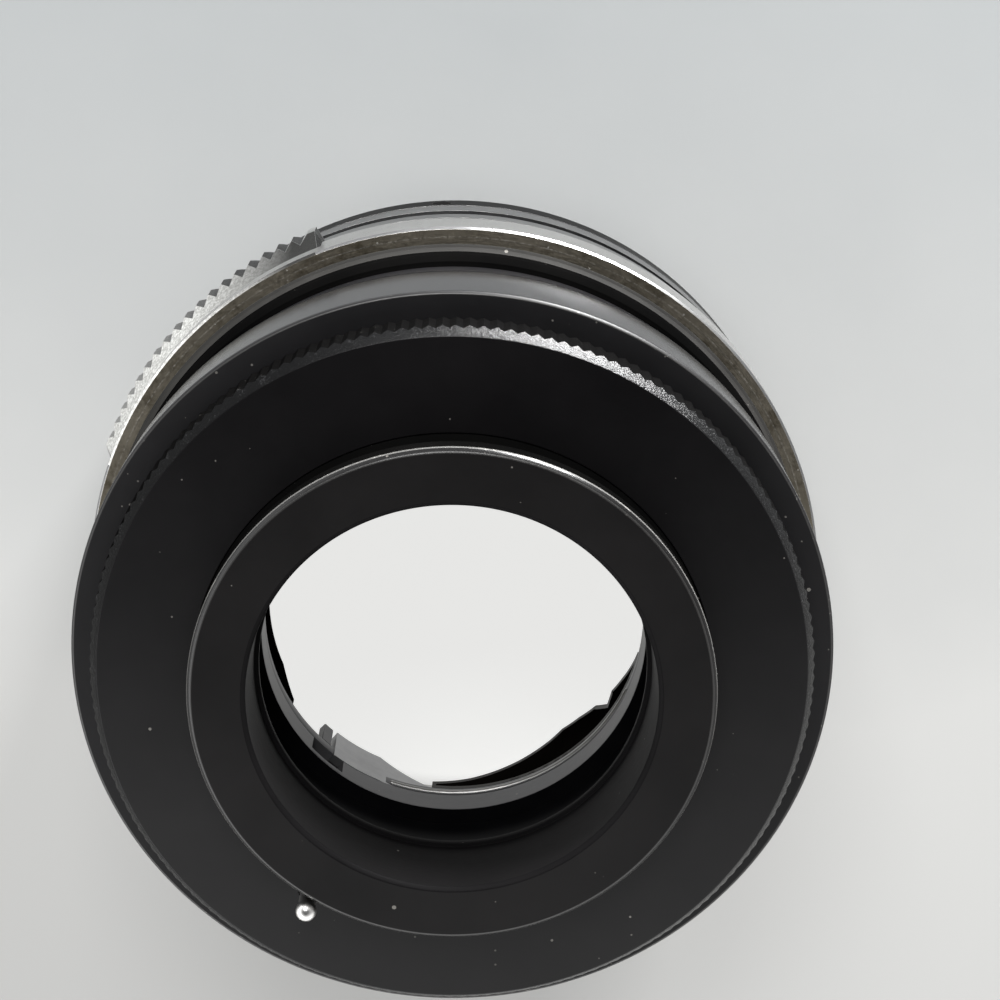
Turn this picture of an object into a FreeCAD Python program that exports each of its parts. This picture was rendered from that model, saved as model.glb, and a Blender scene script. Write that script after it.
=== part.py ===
import FreeCAD, Part
import os
import re
import Sketcher
from FreeCAD import Placement, Rotation, Vector

# Open lens mount adapter: a spigot with a coupling pin in front, a breech-lock ring at the rear.
# The axis is Z. The rear face lies on Z = 0 and the spigot points up.

doc = FreeCAD.newDocument("MountAdapter")
sheet = doc.addObject("Spreadsheet::Sheet", "Sizes")

# Millimetres and degrees
sizes = {
    # lengths along the axis, from the rear face up to the spigot
    "breech_length": 17.7,
    "shoulder_width": 2.3,
    "neck_width": 5.9,
    "main_ring_width": 9.8,
    "main_web": 3.0,
    "disc_thickness": 3.7,
    "collar_height": 7.6,
    "register_depth": 6.9,
    "retainer_thickness": 1.2,
    "sleeve_depth": 6.7,
    "sleeve_length": 2.8,
    "coupling_thickness": 1.2,
    "clip_thickness": 1.0,
    "clip_land": 0.7,
    "web_thickness": 4.5,
    # steps and walls between the radii
    "main_ring_step": 2.0,
    "main_ring_wall": 2.0,
    "disc_width": 8.3,
    "shoulder_step": 1.15,
    "neck_step": 0.8,
    "core_wall": 2.0,
    "skirt_step": 0.2,
    "skirt_wall": 3.4,
    "collar_wall": 4.6,
    "sleeve_wall": 2.2,
    "tube_wall": 0.7,
    "baffle_wall": 0.85,
    "sleeve_step": 0.15,
    "bore_radius": 16.1,
    "lip_step": 0.35,
    # edges and small steps
    "ring_edge": 0.2,
    "shoulder_edge": 0.5,
    "disc_bevel_width": 0.7,
    "disc_bevel_depth": 0.9,
    "collar_edge": 0.35,
    "bore_edge": 0.3,
    "lip_width": 0.6,
    "undercut_depth": 0.6,
    "collar_lip": 1.9,
    "knurl_depth": 0.2,
    "knurl_count": 174,
    # breech ring
    "front_band_step": 0.6,
    "front_band_width": 4.4,
    "rear_band_wall": 1.2,
    "rear_band_width": 5.9,
    "rim_line": 0.25,
    "rim_line_height": 2.9,
    "line_depth": 0.5,
    "line_width": 1.8,
    "middle_band_width": 1.9,
    "counter_gap": 0.4,
    "retainer_step": 0.9,
    "lug_reach": 2.6,
    "lug_thickness": 2.4,
    "lug_span": 44,
    "lug_angle": 40,
    "lug_count": 3,
    "grip_height": 1.05,
    "grip_span": 48,
    "grip_angle": 135,
    "grip_width": 6.5,
    "grip_inset": 0.8,
    "grip_slope": 4.2,
    "tooth_count": 19,
    "tooth_depth": 0.5,
    "breech_turn": 55,
    # stop screw and its groove
    "stop_angle": 200,
    "stop_inset": 4.7,
    "stop_radius": 0.75,
    "stop_reach": 0.8,
    "stop_margin": 0.35,
    # coupling ring and its levers
    "coupling_step": 0.25,
    "clip_wall": 0.95,
    "clip_gap": 4.0,
    "lever_wall": 0.7,
    "lever_length": 3.2,
    "plate_angle": 229,
    "plate_span": 33,
    "plate_flat": 16,
    "finger_angle": 224,
    "finger_span": 3.6,
    "arm_angle": 262.5,
    "arm_span": 85,
    "arm_length": 5.7,
    "arm_strip": 1.3,
    "guard_angle": 178,
    "guard_span": 31.5,
    "guard_flat": 22.5,
    "guard_length": 3.5,
    "slot_angle": 226,
    "slot_width": 3.1,
    "slot_height": 2.2,
    # coupling pin
    "pin_angle": 236.9,
    "pin_radius": 0.7,
    "pin_head_radius": 0.86,
    "pin_stand": 0.42,
    "pin_height": 4.03,
    "pin_flange_radius": 1.4,
    "pin_flange": 1.1,
    "pin_tail": 1.5,
    "pin_room": 0.2,
    "bush_wall": 0.5,
    "spring_wire": 0.16,
    "spring_radius": 1.1,
    "spring_turns": 5,
    # fasteners
    "disc_screw_inset": 3.8,
    "disc_screw_angle": 50,
    "disc_screw_radius": 0.95,
    "disc_screw_head": 1.6,
    "disc_screw_head_height": 1.4,
    "disc_screw_grip": 2.2,
    "set_screw_radius": 0.95,
    "set_screw_height": 3.4,
    "set_screw_angle": 210,
    "set_screw_span": 60,
    "set_screw_sink": 0.25,
    "retainer_screw_angle": 45,
    "retainer_screw_radius": 0.6,
    "retainer_screw_head": 1.1,
    "retainer_screw_length": 3.6,
    "dot_angle": 92,
    "dot_height": 1.6,
    "dot_radius": 0.9,
    "dot_depth": 0.6,
    # clearances
    "running_gap": 0.3,
    "bearing_clearance": 0.06,
    "seat_clearance": 0.05,
    "hole_clearance": 0.06,
}
for row, (alias, value) in enumerate(sizes.items(), start=1):
    sheet.set(f"A{row}", alias)
    sheet.set(f"B{row}", str(value))
    sheet.setAlias(f"B{row}", alias)
doc.recompute()

discScrewCount = 3
setScrewCount = 3
retainerScrewCount = 4
gripCount = 2

# Sizes that follow others: planes along the axis, then radii from the bore out
derived = {
    "skirt_end": "register_depth + retainer_thickness",
    "counter_plane": "skirt_end + running_gap",
    "shoulder_plane": "breech_length + running_gap",
    "neck_plane": "shoulder_plane + shoulder_width",
    "ring_plane": "neck_plane + neck_width",
    "front_plane": "ring_plane + main_ring_width",
    "main_web_plane": "front_plane - main_web",
    "disc_plane": "front_plane + disc_thickness",
    "collar_plane": "front_plane + collar_height",
    "sleeve_top": "front_plane - sleeve_depth",
    "sleeve_end": "sleeve_top - sleeve_length",
    "coupling_top": "sleeve_end - running_gap",
    "coupling_end": "coupling_top - coupling_thickness",
    "clip_top": "coupling_end - running_gap",
    "clip_end": "clip_top - clip_thickness",
    "web_end": "clip_end - clip_land",
    "web_top": "web_end + web_thickness",
    "pin_tip": "disc_plane + pin_height",
    "pin_flange_top": "main_web_plane - bearing_clearance",
    "pin_flange_end": "pin_flange_top - pin_flange",
    "grip_high": "breech_length - grip_inset",
    "grip_low": "grip_high - grip_width",
    "stop_height": "breech_length - stop_inset",
    "lip_radius": "bore_radius - lip_step",
    "sleeve_radius": "bore_radius + sleeve_step",
    "coupling_radius": "bore_radius + coupling_step",
    "lever_outside": "coupling_radius + lever_wall",
    "tube_seat": "sleeve_radius + sleeve_wall",
    "tube_radius": "tube_seat + seat_clearance",
    "tube_outside": "tube_radius + tube_wall",
    "clip_radius": "tube_seat - clip_wall",
    "pin_circle": "collar_radius + pin_head_radius + pin_stand",
    "pin_across": "pin_circle * cos(pin_angle)",
    "pin_along": "pin_circle * sin(pin_angle)",
    "bush_radius": "pin_radius + hole_clearance + bush_wall",
    "collar_radius": "bore_radius + collar_wall",
    "collar_seat": "collar_radius + seat_clearance",
    "disc_screw_circle": "collar_radius + disc_screw_inset",
    "disc_radius": "collar_radius + disc_width",
    "main_ring_radius": "disc_radius + main_ring_step",
    "seat_radius": "main_ring_radius - main_ring_wall",
    "hollow_radius": "seat_radius - core_wall",
    "neck_radius": "seat_radius + neck_step",
    "skirt_radius": "neck_radius - skirt_step",
    "skirt_inside": "skirt_radius - skirt_wall",
    "retainer_screw_circle": "skirt_radius - skirt_wall / 2",
    "shoulder_radius": "skirt_radius + shoulder_step",
    "breech_bore": "skirt_radius + bearing_clearance",
    "retainer_radius": "skirt_radius + retainer_step",
    "counter_radius": "retainer_radius + counter_gap",
    "lug_radius": "counter_radius - lug_reach",
    "rear_band_radius": "counter_radius + rear_band_wall",
    "front_band_radius": "rear_band_radius + front_band_step",
    "grip_radius": "front_band_radius + grip_height",
}


def formula(text):
    # Spells a size out in cells of the sheet
    def spell(match):
        word = match.group(0)
        return f"({formula(derived[word])})" if word in derived else "Sizes." + word
    return re.sub(r"[a-z]+(?:_[a-z]+)+", spell, text)


def bind(item, path, text):
    item.setExpression(path, formula(text))


def plane(body, role):
    return next(item for item in body.Origin.OriginFeatures if item.Role == role)


def sketch_polygon(body, name, corners, turn="0", role="XZ_Plane"):
    sketch = body.newObject("Sketcher::SketchObject", name)
    sketch.AttachmentSupport = [(plane(body, role), "")]
    sketch.MapMode = "FlatFace"
    spin = Vector(0, 1, 0) if role == "XZ_Plane" else Vector(0, 0, 1)
    sketch.AttachmentOffset = Placement(Vector(), Rotation(spin, 1))
    bind(sketch, "AttachmentOffset.Rotation.Angle", turn)
    values = [(sheet_value(across), sheet_value(along)) for across, along in corners]
    count = len(corners)
    for index in range(count):
        start = Vector(*values[index], 0)
        end = Vector(*values[(index + 1) % count], 0)
        sketch.addGeometry(Part.LineSegment(start, end), False)
    for index in range(count):
        follower = (index + 1) % count
        sketch.addConstraint(Sketcher.Constraint("Coincident", index, 2, follower, 1))
    for index, (across, along) in enumerate(corners):
        for kind, text, value in zip(("DistanceX", "DistanceY"), (across, along), values[index]):
            number = sketch.addConstraint(Sketcher.Constraint(kind, -1, 1, index, 1, value))
            bind(sketch, f"Constraints[{number}]", text)
    return sketch


def sheet_value(text):
    probe = sheet.evalExpression(formula(text))
    return float(getattr(probe, "Value", probe))


def new_body(name):
    body = doc.addObject("PartDesign::Body", name)
    body.Label = name
    return body


def turn_profile(body, name, corners, angle="360", start="0", kind="Revolution"):
    sketch = sketch_polygon(body, name + "_sketch", corners, start)
    feature = body.newObject("PartDesign::" + kind, name)
    feature.Profile = sketch
    feature.ReferenceAxis = (sketch, ["V_Axis"])
    bind(feature, "Angle", angle)
    body.Tip = feature
    doc.recompute()
    return feature


def turned(name, corners):
    body = new_body(name)
    turn_profile(body, name + "_turning", corners)
    return body


def repeat(body, feature, count, angle="360"):
    pattern = body.newObject("PartDesign::PolarPattern", feature.Name + "_pattern")
    pattern.Originals = [feature]
    axis = plane(body, "Z_Axis")
    pattern.Axis = (axis, [""])
    bind(pattern, "Angle", angle)
    bind(pattern, "Occurrences", count)
    body.Tip = pattern
    doc.recompute()
    return pattern


def cylinder(name, radius, height, x="0", y="0", z="0"):
    item = doc.addObject("Part::Cylinder", name)
    bind(item, "Radius", radius)
    bind(item, "Height", height)
    bind(item, "Placement.Base.x", x)
    bind(item, "Placement.Base.y", y)
    bind(item, "Placement.Base.z", z)
    return item


def cone(name, lower, upper, height, x, y, z):
    item = doc.addObject("Part::Cone", name)
    bind(item, "Radius1", lower)
    bind(item, "Radius2", upper)
    bind(item, "Height", height)
    bind(item, "Placement.Base.x", x)
    bind(item, "Placement.Base.y", y)
    bind(item, "Placement.Base.z", z)
    return item


def radial_cylinder(name, radius, start, end, angle, z):
    item = cylinder(name, radius, f"{end} - {start}", f"{start} * cos({angle})", f"{start} * sin({angle})", z)
    heading = sheet_value(angle)
    item.Placement.Rotation = Rotation(Vector(0, 0, 1), heading) * Rotation(Vector(0, 1, 0), 90)
    return item


def around(circle, first, index, count):
    angle = f"({first} + {index} * 360 / {count})"
    return f"{circle} * cos{angle}", f"{circle} * sin{angle}"


def join(name, items):
    item = doc.addObject("Part::MultiFuse", name)
    item.Shapes = items
    return item


def group(name, items):
    item = doc.addObject("Part::Compound", name)
    item.Links = items
    return item


def cut(name, base, tools):
    item = doc.addObject("Part::Cut", name)
    item.Base = base
    item.Tool = tools[0] if len(tools) == 1 else group(name + "_tools", tools)
    return item


def make_core():
    body = turned("core_body", [
        ("skirt_inside", "skirt_end"), ("skirt_radius", "skirt_end"),
        ("skirt_radius", "shoulder_plane"), ("shoulder_radius", "shoulder_plane"),
        ("shoulder_radius", "neck_plane - shoulder_edge"),
        ("shoulder_radius - shoulder_edge", "neck_plane"), ("neck_radius", "neck_plane"),
        ("neck_radius", "ring_plane"), ("seat_radius", "ring_plane"),
        ("seat_radius", "main_web_plane"), ("hollow_radius", "main_web_plane"),
        ("hollow_radius", "web_top"), ("tube_outside", "web_top"),
        ("tube_outside", "front_plane"), ("tube_radius", "front_plane"),
        ("tube_radius", "web_end"), ("skirt_inside", "web_end"),
    ])
    holes = [radial_cylinder("core_stop_hole", "(stop_radius + hole_clearance)", "skirt_inside",
                             "skirt_radius", "stop_angle", "stop_height")]
    for index in range(retainerScrewCount):
        x, y = around("retainer_screw_circle", "retainer_screw_angle", index, retainerScrewCount)
        holes.append(cylinder(f"core_retainer_hole_{index}", "retainer_screw_radius + hole_clearance",
                              "retainer_screw_length", x, y, "skirt_end"))
    return cut("core_barrel", body, holes)


def make_main_ring():
    wall = "(seat_radius + seat_clearance)"
    hub = "(tube_outside + seat_clearance)"
    body = turned("main_ring_body", [
        (wall, "ring_plane"), ("main_ring_radius - ring_edge", "ring_plane"),
        ("main_ring_radius", "ring_plane + ring_edge"), ("main_ring_radius", "front_plane - ring_edge"),
        ("main_ring_radius - ring_edge", "front_plane"), (hub, "front_plane"),
        (hub, "main_web_plane"), (wall, "main_web_plane"),
    ])
    holes = [cylinder("main_ring_bush_hole", "bush_radius + seat_clearance", "main_web",
                      "pin_across", "pin_along", "main_web_plane")]
    for index in range(discScrewCount):
        x, y = around("disc_screw_circle", "disc_screw_angle", index, discScrewCount)
        holes.append(cylinder(f"main_ring_screw_hole_{index}", "disc_screw_radius + hole_clearance",
                              "main_web", x, y, "main_web_plane"))
    for index in range(setScrewCount):
        angle = f"(set_screw_angle + {index} * set_screw_span)"
        holes.append(radial_cylinder(f"main_ring_set_hole_{index}", "(set_screw_radius + hole_clearance)",
                                     "seat_radius", "main_ring_radius", angle,
                                     "ring_plane + set_screw_height"))
    return cut("main_ring", body, holes)


def make_front_disc():
    body = turned("front_disc_body", [
        ("collar_seat", "front_plane"), ("disc_radius", "front_plane"),
        ("disc_radius", "disc_plane - disc_bevel_depth"), ("disc_radius - disc_bevel_width", "disc_plane"),
        ("collar_seat", "disc_plane"),
    ])
    half = "180 / knurl_count"
    root = "disc_radius - knurl_depth"
    rim = "(disc_radius + knurl_depth)"
    notch = sketch_polygon(body, "knurl_sketch", [
        (root, "0"), (f"{rim} * cos({half})", f"{rim} * sin({half})"),
        (f"{rim} * cos({half})", f"-{rim} * sin({half})"),
    ], role="XY_Plane")
    pocket = body.newObject("PartDesign::Pocket", "knurl_notch")
    pocket.Profile = notch
    pocket.Reversed = True
    bind(pocket, "Length", "disc_plane")
    body.Tip = pocket
    doc.recompute()
    repeat(body, pocket, "knurl_count")
    holes = [cylinder("disc_pin_hole", "pin_radius + pin_room", "disc_thickness",
                      "pin_across", "pin_along", "front_plane")]
    for index in range(discScrewCount):
        x, y = around("disc_screw_circle", "disc_screw_angle", index, discScrewCount)
        holes.append(cylinder(f"disc_screw_hole_{index}", "disc_screw_radius + hole_clearance",
                              "disc_screw_grip + hole_clearance", x, y, "front_plane"))
    return cut("front_disc", body, holes)


def make_collar():
    lipPlane = "(collar_plane - collar_lip)"
    neck = "collar_radius - undercut_depth"
    return turned("spigot_collar", [
        ("lip_radius", "front_plane"), ("collar_radius", "front_plane"),
        ("collar_radius", "disc_plane"), (neck, "disc_plane + seat_clearance"),
        (neck, f"{lipPlane} - seat_clearance"), ("collar_radius", lipPlane),
        ("collar_radius", "collar_plane - collar_edge"), ("collar_radius - collar_edge", "collar_plane"),
        ("bore_radius + bore_edge", "collar_plane"), ("bore_radius", "collar_plane - bore_edge"),
        ("bore_radius", "front_plane + lip_width"), ("lip_radius", "front_plane + lip_width"),
    ])


def make_baffle():
    inner = "(tube_seat - baffle_wall)"
    return turned("baffle_tube", [
        (inner, "sleeve_top"), ("tube_seat", "sleeve_top"),
        ("tube_seat", "front_plane"), (inner, "front_plane"),
    ])


def make_sleeve():
    body = turned("sleeve_body", [
        ("sleeve_radius", "sleeve_end"), ("tube_seat", "sleeve_end"), ("tube_seat", "sleeve_top"),
        ("sleeve_radius", "sleeve_top"),
    ])
    slot = doc.addObject("Part::Box", "sleeve_slot")
    bind(slot, "Length", "tube_radius")
    bind(slot, "Width", "slot_width")
    bind(slot, "Height", "slot_height")
    slot.Placement.Rotation = Rotation(Vector(0, 0, 1), sheet_value("slot_angle"))
    bind(slot, "Placement.Base.x", "slot_width / 2 * sin(slot_angle)")
    bind(slot, "Placement.Base.y", "-slot_width / 2 * cos(slot_angle)")
    bind(slot, "Placement.Base.z", "sleeve_end")
    return cut("sleeve", body, [slot])


def make_coupling_ring():
    outer = "(tube_radius - bearing_clearance)"
    return turned("coupling_ring", [
        ("coupling_radius", "coupling_end"), (outer, "coupling_end"), (outer, "coupling_top"),
        ("coupling_radius", "coupling_top"),
    ])


def make_clip():
    body = turned("clip_body", [
        ("clip_radius", "clip_end"), ("tube_seat", "clip_end"),
        ("tube_seat", "clip_top"), ("clip_radius", "clip_top"),
    ])
    gap = doc.addObject("Part::Box", "clip_opening")
    bind(gap, "Length", "clip_gap")
    bind(gap, "Width", "tube_radius")
    bind(gap, "Height", "clip_thickness")
    bind(gap, "Placement.Base.x", "-clip_gap / 2")
    bind(gap, "Placement.Base.z", "clip_end")
    return cut("coupling_clip", body, [gap])


def lever_strip(name, length, start, span):
    body = new_body(name)
    low = f"(coupling_end - {length})"
    turn_profile(body, name + "_bend", [
        ("coupling_radius", low), ("lever_outside", low), ("lever_outside", "coupling_end"),
        ("coupling_radius", "coupling_end"),
    ], span, start)
    return body


def trim(body, name, corners, middle):
    # Cuts an outline straight through the strip, square to the radius at its middle angle
    sketch = sketch_polygon(body, name + "_sketch", corners, f"{middle} + 90")
    pocket = body.newObject("PartDesign::Pocket", name)
    pocket.Profile = sketch
    pocket.Reversed = True
    bind(pocket, "Length", "tube_radius")
    body.Tip = pocket
    doc.recompute()
    return pocket


def slanted_strip(name, length, start, span, flat):
    # A strip whose lower edge runs level for the flat part, then rises to the far end
    body = lever_strip(name, length, start, span)
    low = f"(coupling_end - {length})"
    fold = f"(coupling_radius * sin({flat} - {span} / 2))"
    end = f"(lever_outside * sin({span} / 2))"
    trim(body, name + "_slant", [
        (fold, low), (fold, f"{low} - lever_wall"), (f"{end} + lever_wall", f"{low} - lever_wall"),
        (f"{end} + lever_wall", "coupling_end - lever_wall"), (end, "coupling_end - lever_wall"),
    ], f"({start} + {span} / 2)")
    return body


def make_lever_plate():
    return slanted_strip("lever_plate", "lever_length", "plate_angle", "plate_span", "plate_flat")


def make_lever_finger():
    return lever_strip("lever_finger", "lever_length", "finger_angle", "finger_span")


def make_cam_arm():
    arm = lever_strip("cam_arm_strip", "arm_length", "arm_angle", "arm_span")
    low = "(coupling_end - arm_length)"
    half = "(lever_outside * sin(arm_span / 2))"
    near = f"(-{half} - arm_strip)"
    far = f"({half} + arm_strip)"
    trim(arm, "arm_edge", [
        (near, f"{low} - arm_strip"), (far, f"{low} - arm_strip"), (far, "coupling_end - arm_strip * 0.2"),
        (f"{half} * 0.96", "coupling_end - arm_strip * 0.3"), (f"{half} * 0.71", f"{low} + arm_strip * 2.4"),
        (f"{half} * 0.57", f"{low} + arm_strip * 1.7"), (f"{half} * 0.5", f"{low} + arm_strip * 2.7"),
        (f"{half} * 0.38", f"{low} + arm_strip * 0.9"), (f"{half} * 0.2", f"{low} + arm_strip * 0.2"),
        (f"{half} * 0.03", low), (f"-{half} * 0.09", f"{low} + arm_strip * 0.6"),
        (f"-{half} * 0.35", f"{low} + arm_strip * 1.6"), (f"-{half} * 0.73", "coupling_end - arm_strip * 1.5"),
        (near, "coupling_end - arm_strip / 2"),
    ], "(arm_angle + arm_span / 2)")
    guard = slanted_strip("cam_guard_strip", "guard_length", "guard_angle", "guard_span", "guard_flat")
    return group("cam_arm", [arm, guard])


def make_pin():
    shaft = cylinder("pin_shaft", "pin_radius", "pin_tip - pin_head_radius - pin_flange_end + pin_tail",
                     "pin_across", "pin_along", "pin_flange_end - pin_tail")
    flange = cylinder("pin_collar", "pin_flange_radius", "pin_flange",
                      "pin_across", "pin_along", "pin_flange_end")
    head = doc.addObject("Part::Sphere", "pin_head")
    bind(head, "Radius", "pin_head_radius")
    bind(head, "Placement.Base.x", "pin_across")
    bind(head, "Placement.Base.y", "pin_along")
    bind(head, "Placement.Base.z", "pin_tip - pin_head_radius")
    return join("coupling_pin", [shaft, flange, head])


def make_pin_bush():
    outer = cylinder("bush_outside", "bush_radius", "main_web", "pin_across", "pin_along", "main_web_plane")
    inner = cylinder("bush_inside", "pin_radius + hole_clearance", "main_web",
                     "pin_across", "pin_along", "main_web_plane")
    return cut("pin_bush", outer, [inner])


def make_pin_spring():
    low = "(web_top + spring_wire + bearing_clearance)"
    high = "(pin_flange_end - spring_wire - bearing_clearance)"
    path = doc.addObject("Part::Helix", "spring_path")
    bind(path, "Radius", "spring_radius")
    bind(path, "Height", f"{high} - {low}")
    bind(path, "Pitch", f"({high} - {low}) / spring_turns")
    bind(path, "Placement.Base.x", "pin_across")
    bind(path, "Placement.Base.y", "pin_along")
    bind(path, "Placement.Base.z", low)
    wire = doc.addObject("Part::Circle", "spring_section")
    bind(wire, "Radius", "spring_wire")
    wire.Placement.Rotation = Rotation(Vector(1, 0, 0), 90)
    bind(wire, "Placement.Base.x", "pin_across + spring_radius")
    bind(wire, "Placement.Base.y", "pin_along")
    bind(wire, "Placement.Base.z", low)
    coil = doc.addObject("Part::Sweep", "pin_spring")
    coil.Sections = [wire]
    coil.Spine = (path, ["Edge1"])
    coil.Solid = True
    coil.Frenet = True
    return coil


def make_disc_screws():
    screws = []
    for index in range(discScrewCount):
        x, y = around("disc_screw_circle", "disc_screw_angle", index, discScrewCount)
        head = cylinder(f"disc_screw_head_{index}", "disc_screw_head", "disc_screw_head_height", x, y,
                        "main_web_plane - disc_screw_head_height")
        shank = cylinder(f"disc_screw_shank_{index}", "disc_screw_radius", "main_web + disc_screw_grip",
                         x, y, "main_web_plane")
        screws.append(join(f"disc_screw_{index}", [head, shank]))
    return group("disc_screws", screws)


def make_set_screws():
    screws = []
    for index in range(setScrewCount):
        angle = f"(set_screw_angle + {index} * set_screw_span)"
        screws.append(radial_cylinder(f"set_screw_{index}", "set_screw_radius",
                                      "(seat_radius + seat_clearance)", "(main_ring_radius - set_screw_sink)",
                                      angle, "ring_plane + set_screw_height"))
    return group("set_screws", screws)


def make_breech_ring():
    body = new_body("breech_ring_body")
    firstLine = "rear_band_width"
    middleBand = f"({firstLine} + line_width)"
    secondLine = f"({middleBand} + middle_band_width)"
    gripBand = f"({secondLine} + line_width)"
    frontBand = "(breech_length - front_band_width)"
    groove = "rear_band_radius - line_depth"
    turn_profile(body, "breech_turning", [
        ("counter_radius", "0"), ("rear_band_radius - ring_edge", "0"),
        ("rear_band_radius", "ring_edge"), ("rear_band_radius", "rim_line_height"),
        ("rear_band_radius - rim_line", "rim_line_height"),
        ("rear_band_radius - rim_line", "rim_line_height + rim_line"),
        ("rear_band_radius", "rim_line_height + rim_line"), ("rear_band_radius", firstLine),
        (groove, firstLine), (groove, middleBand),
        ("rear_band_radius", middleBand), ("rear_band_radius", secondLine),
        (groove, secondLine), (groove, gripBand),
        ("rear_band_radius", gripBand), ("rear_band_radius", frontBand),
        ("front_band_radius", frontBand), ("front_band_radius", "breech_length - ring_edge"),
        ("front_band_radius - ring_edge", "breech_length"), ("breech_bore", "breech_length"),
        ("breech_bore", "counter_plane"), ("counter_radius", "counter_plane"),
    ])
    lug = turn_profile(body, "breech_lug", [
        ("lug_radius", "0"), ("rear_band_radius - ring_edge", "0"),
        ("rear_band_radius - ring_edge", "lug_thickness"), ("lug_radius", "lug_thickness"),
    ], "lug_span", "lug_angle - lug_span / 2")
    repeat(body, lug, "lug_count")
    inside = "rear_band_radius - line_depth * 1.5"
    grip = turn_profile(body, "breech_grip", [
        (inside, "grip_low"), ("grip_radius - ring_edge", "grip_low"),
        ("grip_radius", "grip_low + ring_edge"), ("grip_radius", "grip_high - grip_slope"),
        ("rear_band_radius", "grip_high"), (inside, "grip_high"),
    ], "grip_span", "grip_angle - grip_span / 2")
    repeat(body, grip, str(gripCount))
    pitch = "(grip_span / tooth_count)"
    root = "(grip_radius - tooth_depth)"
    rim = "(grip_radius + tooth_depth)"
    spread = f"({rim} * tan({pitch}))"
    for index in range(gripCount):
        first = f"grip_angle - grip_span / 2 + {pitch} + {index} * 360 / {gripCount}"
        notch = sketch_polygon(body, f"tooth_sketch_{index}", [
            (root, "0"), (rim, spread), (rim, f"-{spread}"),
        ], first, "XY_Plane")
        pocket = body.newObject("PartDesign::Pocket", f"tooth_notch_{index}")
        pocket.Profile = notch
        pocket.Reversed = True
        bind(pocket, "Length", "grip_high")
        body.Tip = pocket
        doc.recompute()
        repeat(body, pocket, "tooth_count - 1", f"{pitch} * (tooth_count - 2)")
    reach = "(skirt_radius + stop_reach + stop_margin)"
    side = "(stop_radius + stop_margin)"
    play = f"({side} / skirt_radius * 180 / pi)"
    turn_profile(body, "stop_groove", [
        ("skirt_radius", f"stop_height - {side}"), (reach, f"stop_height - {side}"),
        (reach, f"stop_height + {side}"), ("skirt_radius", f"stop_height + {side}"),
    ], f"breech_turn + 2 * {play}", f"stop_angle - breech_turn - {play}", "Groove")
    socket = radial_cylinder("dot_socket", "dot_radius", "(rear_band_radius - dot_depth)",
                             "(rear_band_radius + dot_depth)", "dot_angle", "dot_height")
    return cut("breech_ring", body, [socket])


def make_index_dot():
    return radial_cylinder("index_dot", "dot_radius - hole_clearance", "(rear_band_radius - dot_depth)",
                           "rear_band_radius", "dot_angle", "dot_height")


def make_retainer():
    body = turned("retainer_body", [
        ("skirt_inside", "register_depth"), ("retainer_radius", "register_depth"),
        ("retainer_radius", "skirt_end"), ("skirt_inside", "skirt_end"),
    ])
    holes = []
    wide = "retainer_screw_head + hole_clearance"
    narrow = "retainer_screw_radius + hole_clearance"
    depth = "retainer_screw_head - retainer_screw_radius"
    for index in range(retainerScrewCount):
        x, y = around("retainer_screw_circle", "retainer_screw_angle", index, retainerScrewCount)
        sink = cone(f"retainer_sink_{index}", wide, narrow, depth, x, y, "register_depth")
        hole = cylinder(f"retainer_hole_{index}", narrow, "retainer_thickness", x, y, "register_depth")
        holes.append(join(f"retainer_screw_hole_{index}", [sink, hole]))
    return cut("breech_retainer", body, holes)


def make_retainer_screws():
    screws = []
    depth = "retainer_screw_head - retainer_screw_radius"
    for index in range(retainerScrewCount):
        x, y = around("retainer_screw_circle", "retainer_screw_angle", index, retainerScrewCount)
        head = cone(f"retainer_head_{index}", "retainer_screw_head", "retainer_screw_radius", depth,
                    x, y, "register_depth")
        shank = cylinder(f"retainer_shank_{index}", "retainer_screw_radius", "retainer_screw_length",
                         x, y, "register_depth")
        screws.append(join(f"retainer_screw_{index}", [head, shank]))
    return group("retainer_screws", screws)


def make_stop_screw():
    return radial_cylinder("stop_screw", "stop_radius", "skirt_inside", "(skirt_radius + stop_reach)",
                           "stop_angle", "stop_height")


nodes = [
    make_core(), make_main_ring(), make_front_disc(), make_collar(), make_baffle(), make_sleeve(),
    make_coupling_ring(), make_clip(), make_lever_plate(), make_lever_finger(), make_cam_arm(),
    make_pin(), make_pin_bush(), make_pin_spring(), make_disc_screws(), make_set_screws(),
    make_breech_ring(), make_index_dot(), make_retainer(), make_retainer_screws(), make_stop_screw(),
]
doc.recompute()

for item in doc.Objects:
    if "Invalid" in item.State or "Error" in item.State:
        raise RuntimeError(f"{item.Name} did not build: {item.State}")
for node in nodes:
    if node.Shape.isNull() or not node.Shape.isValid():
        raise RuntimeError(f"{node.Label} has no valid shape")

os.makedirs("parts", exist_ok=True)
for node in nodes:
    node.Shape.exportStep(f"parts/{node.Label}.step")
    print(node.Label, len(node.Shape.Solids), round(node.Shape.Volume, 2))
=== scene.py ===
import bmesh
import bpy
from math import atan2, cos, degrees, hypot, radians, sin
from mathutils import Matrix, Vector


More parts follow.
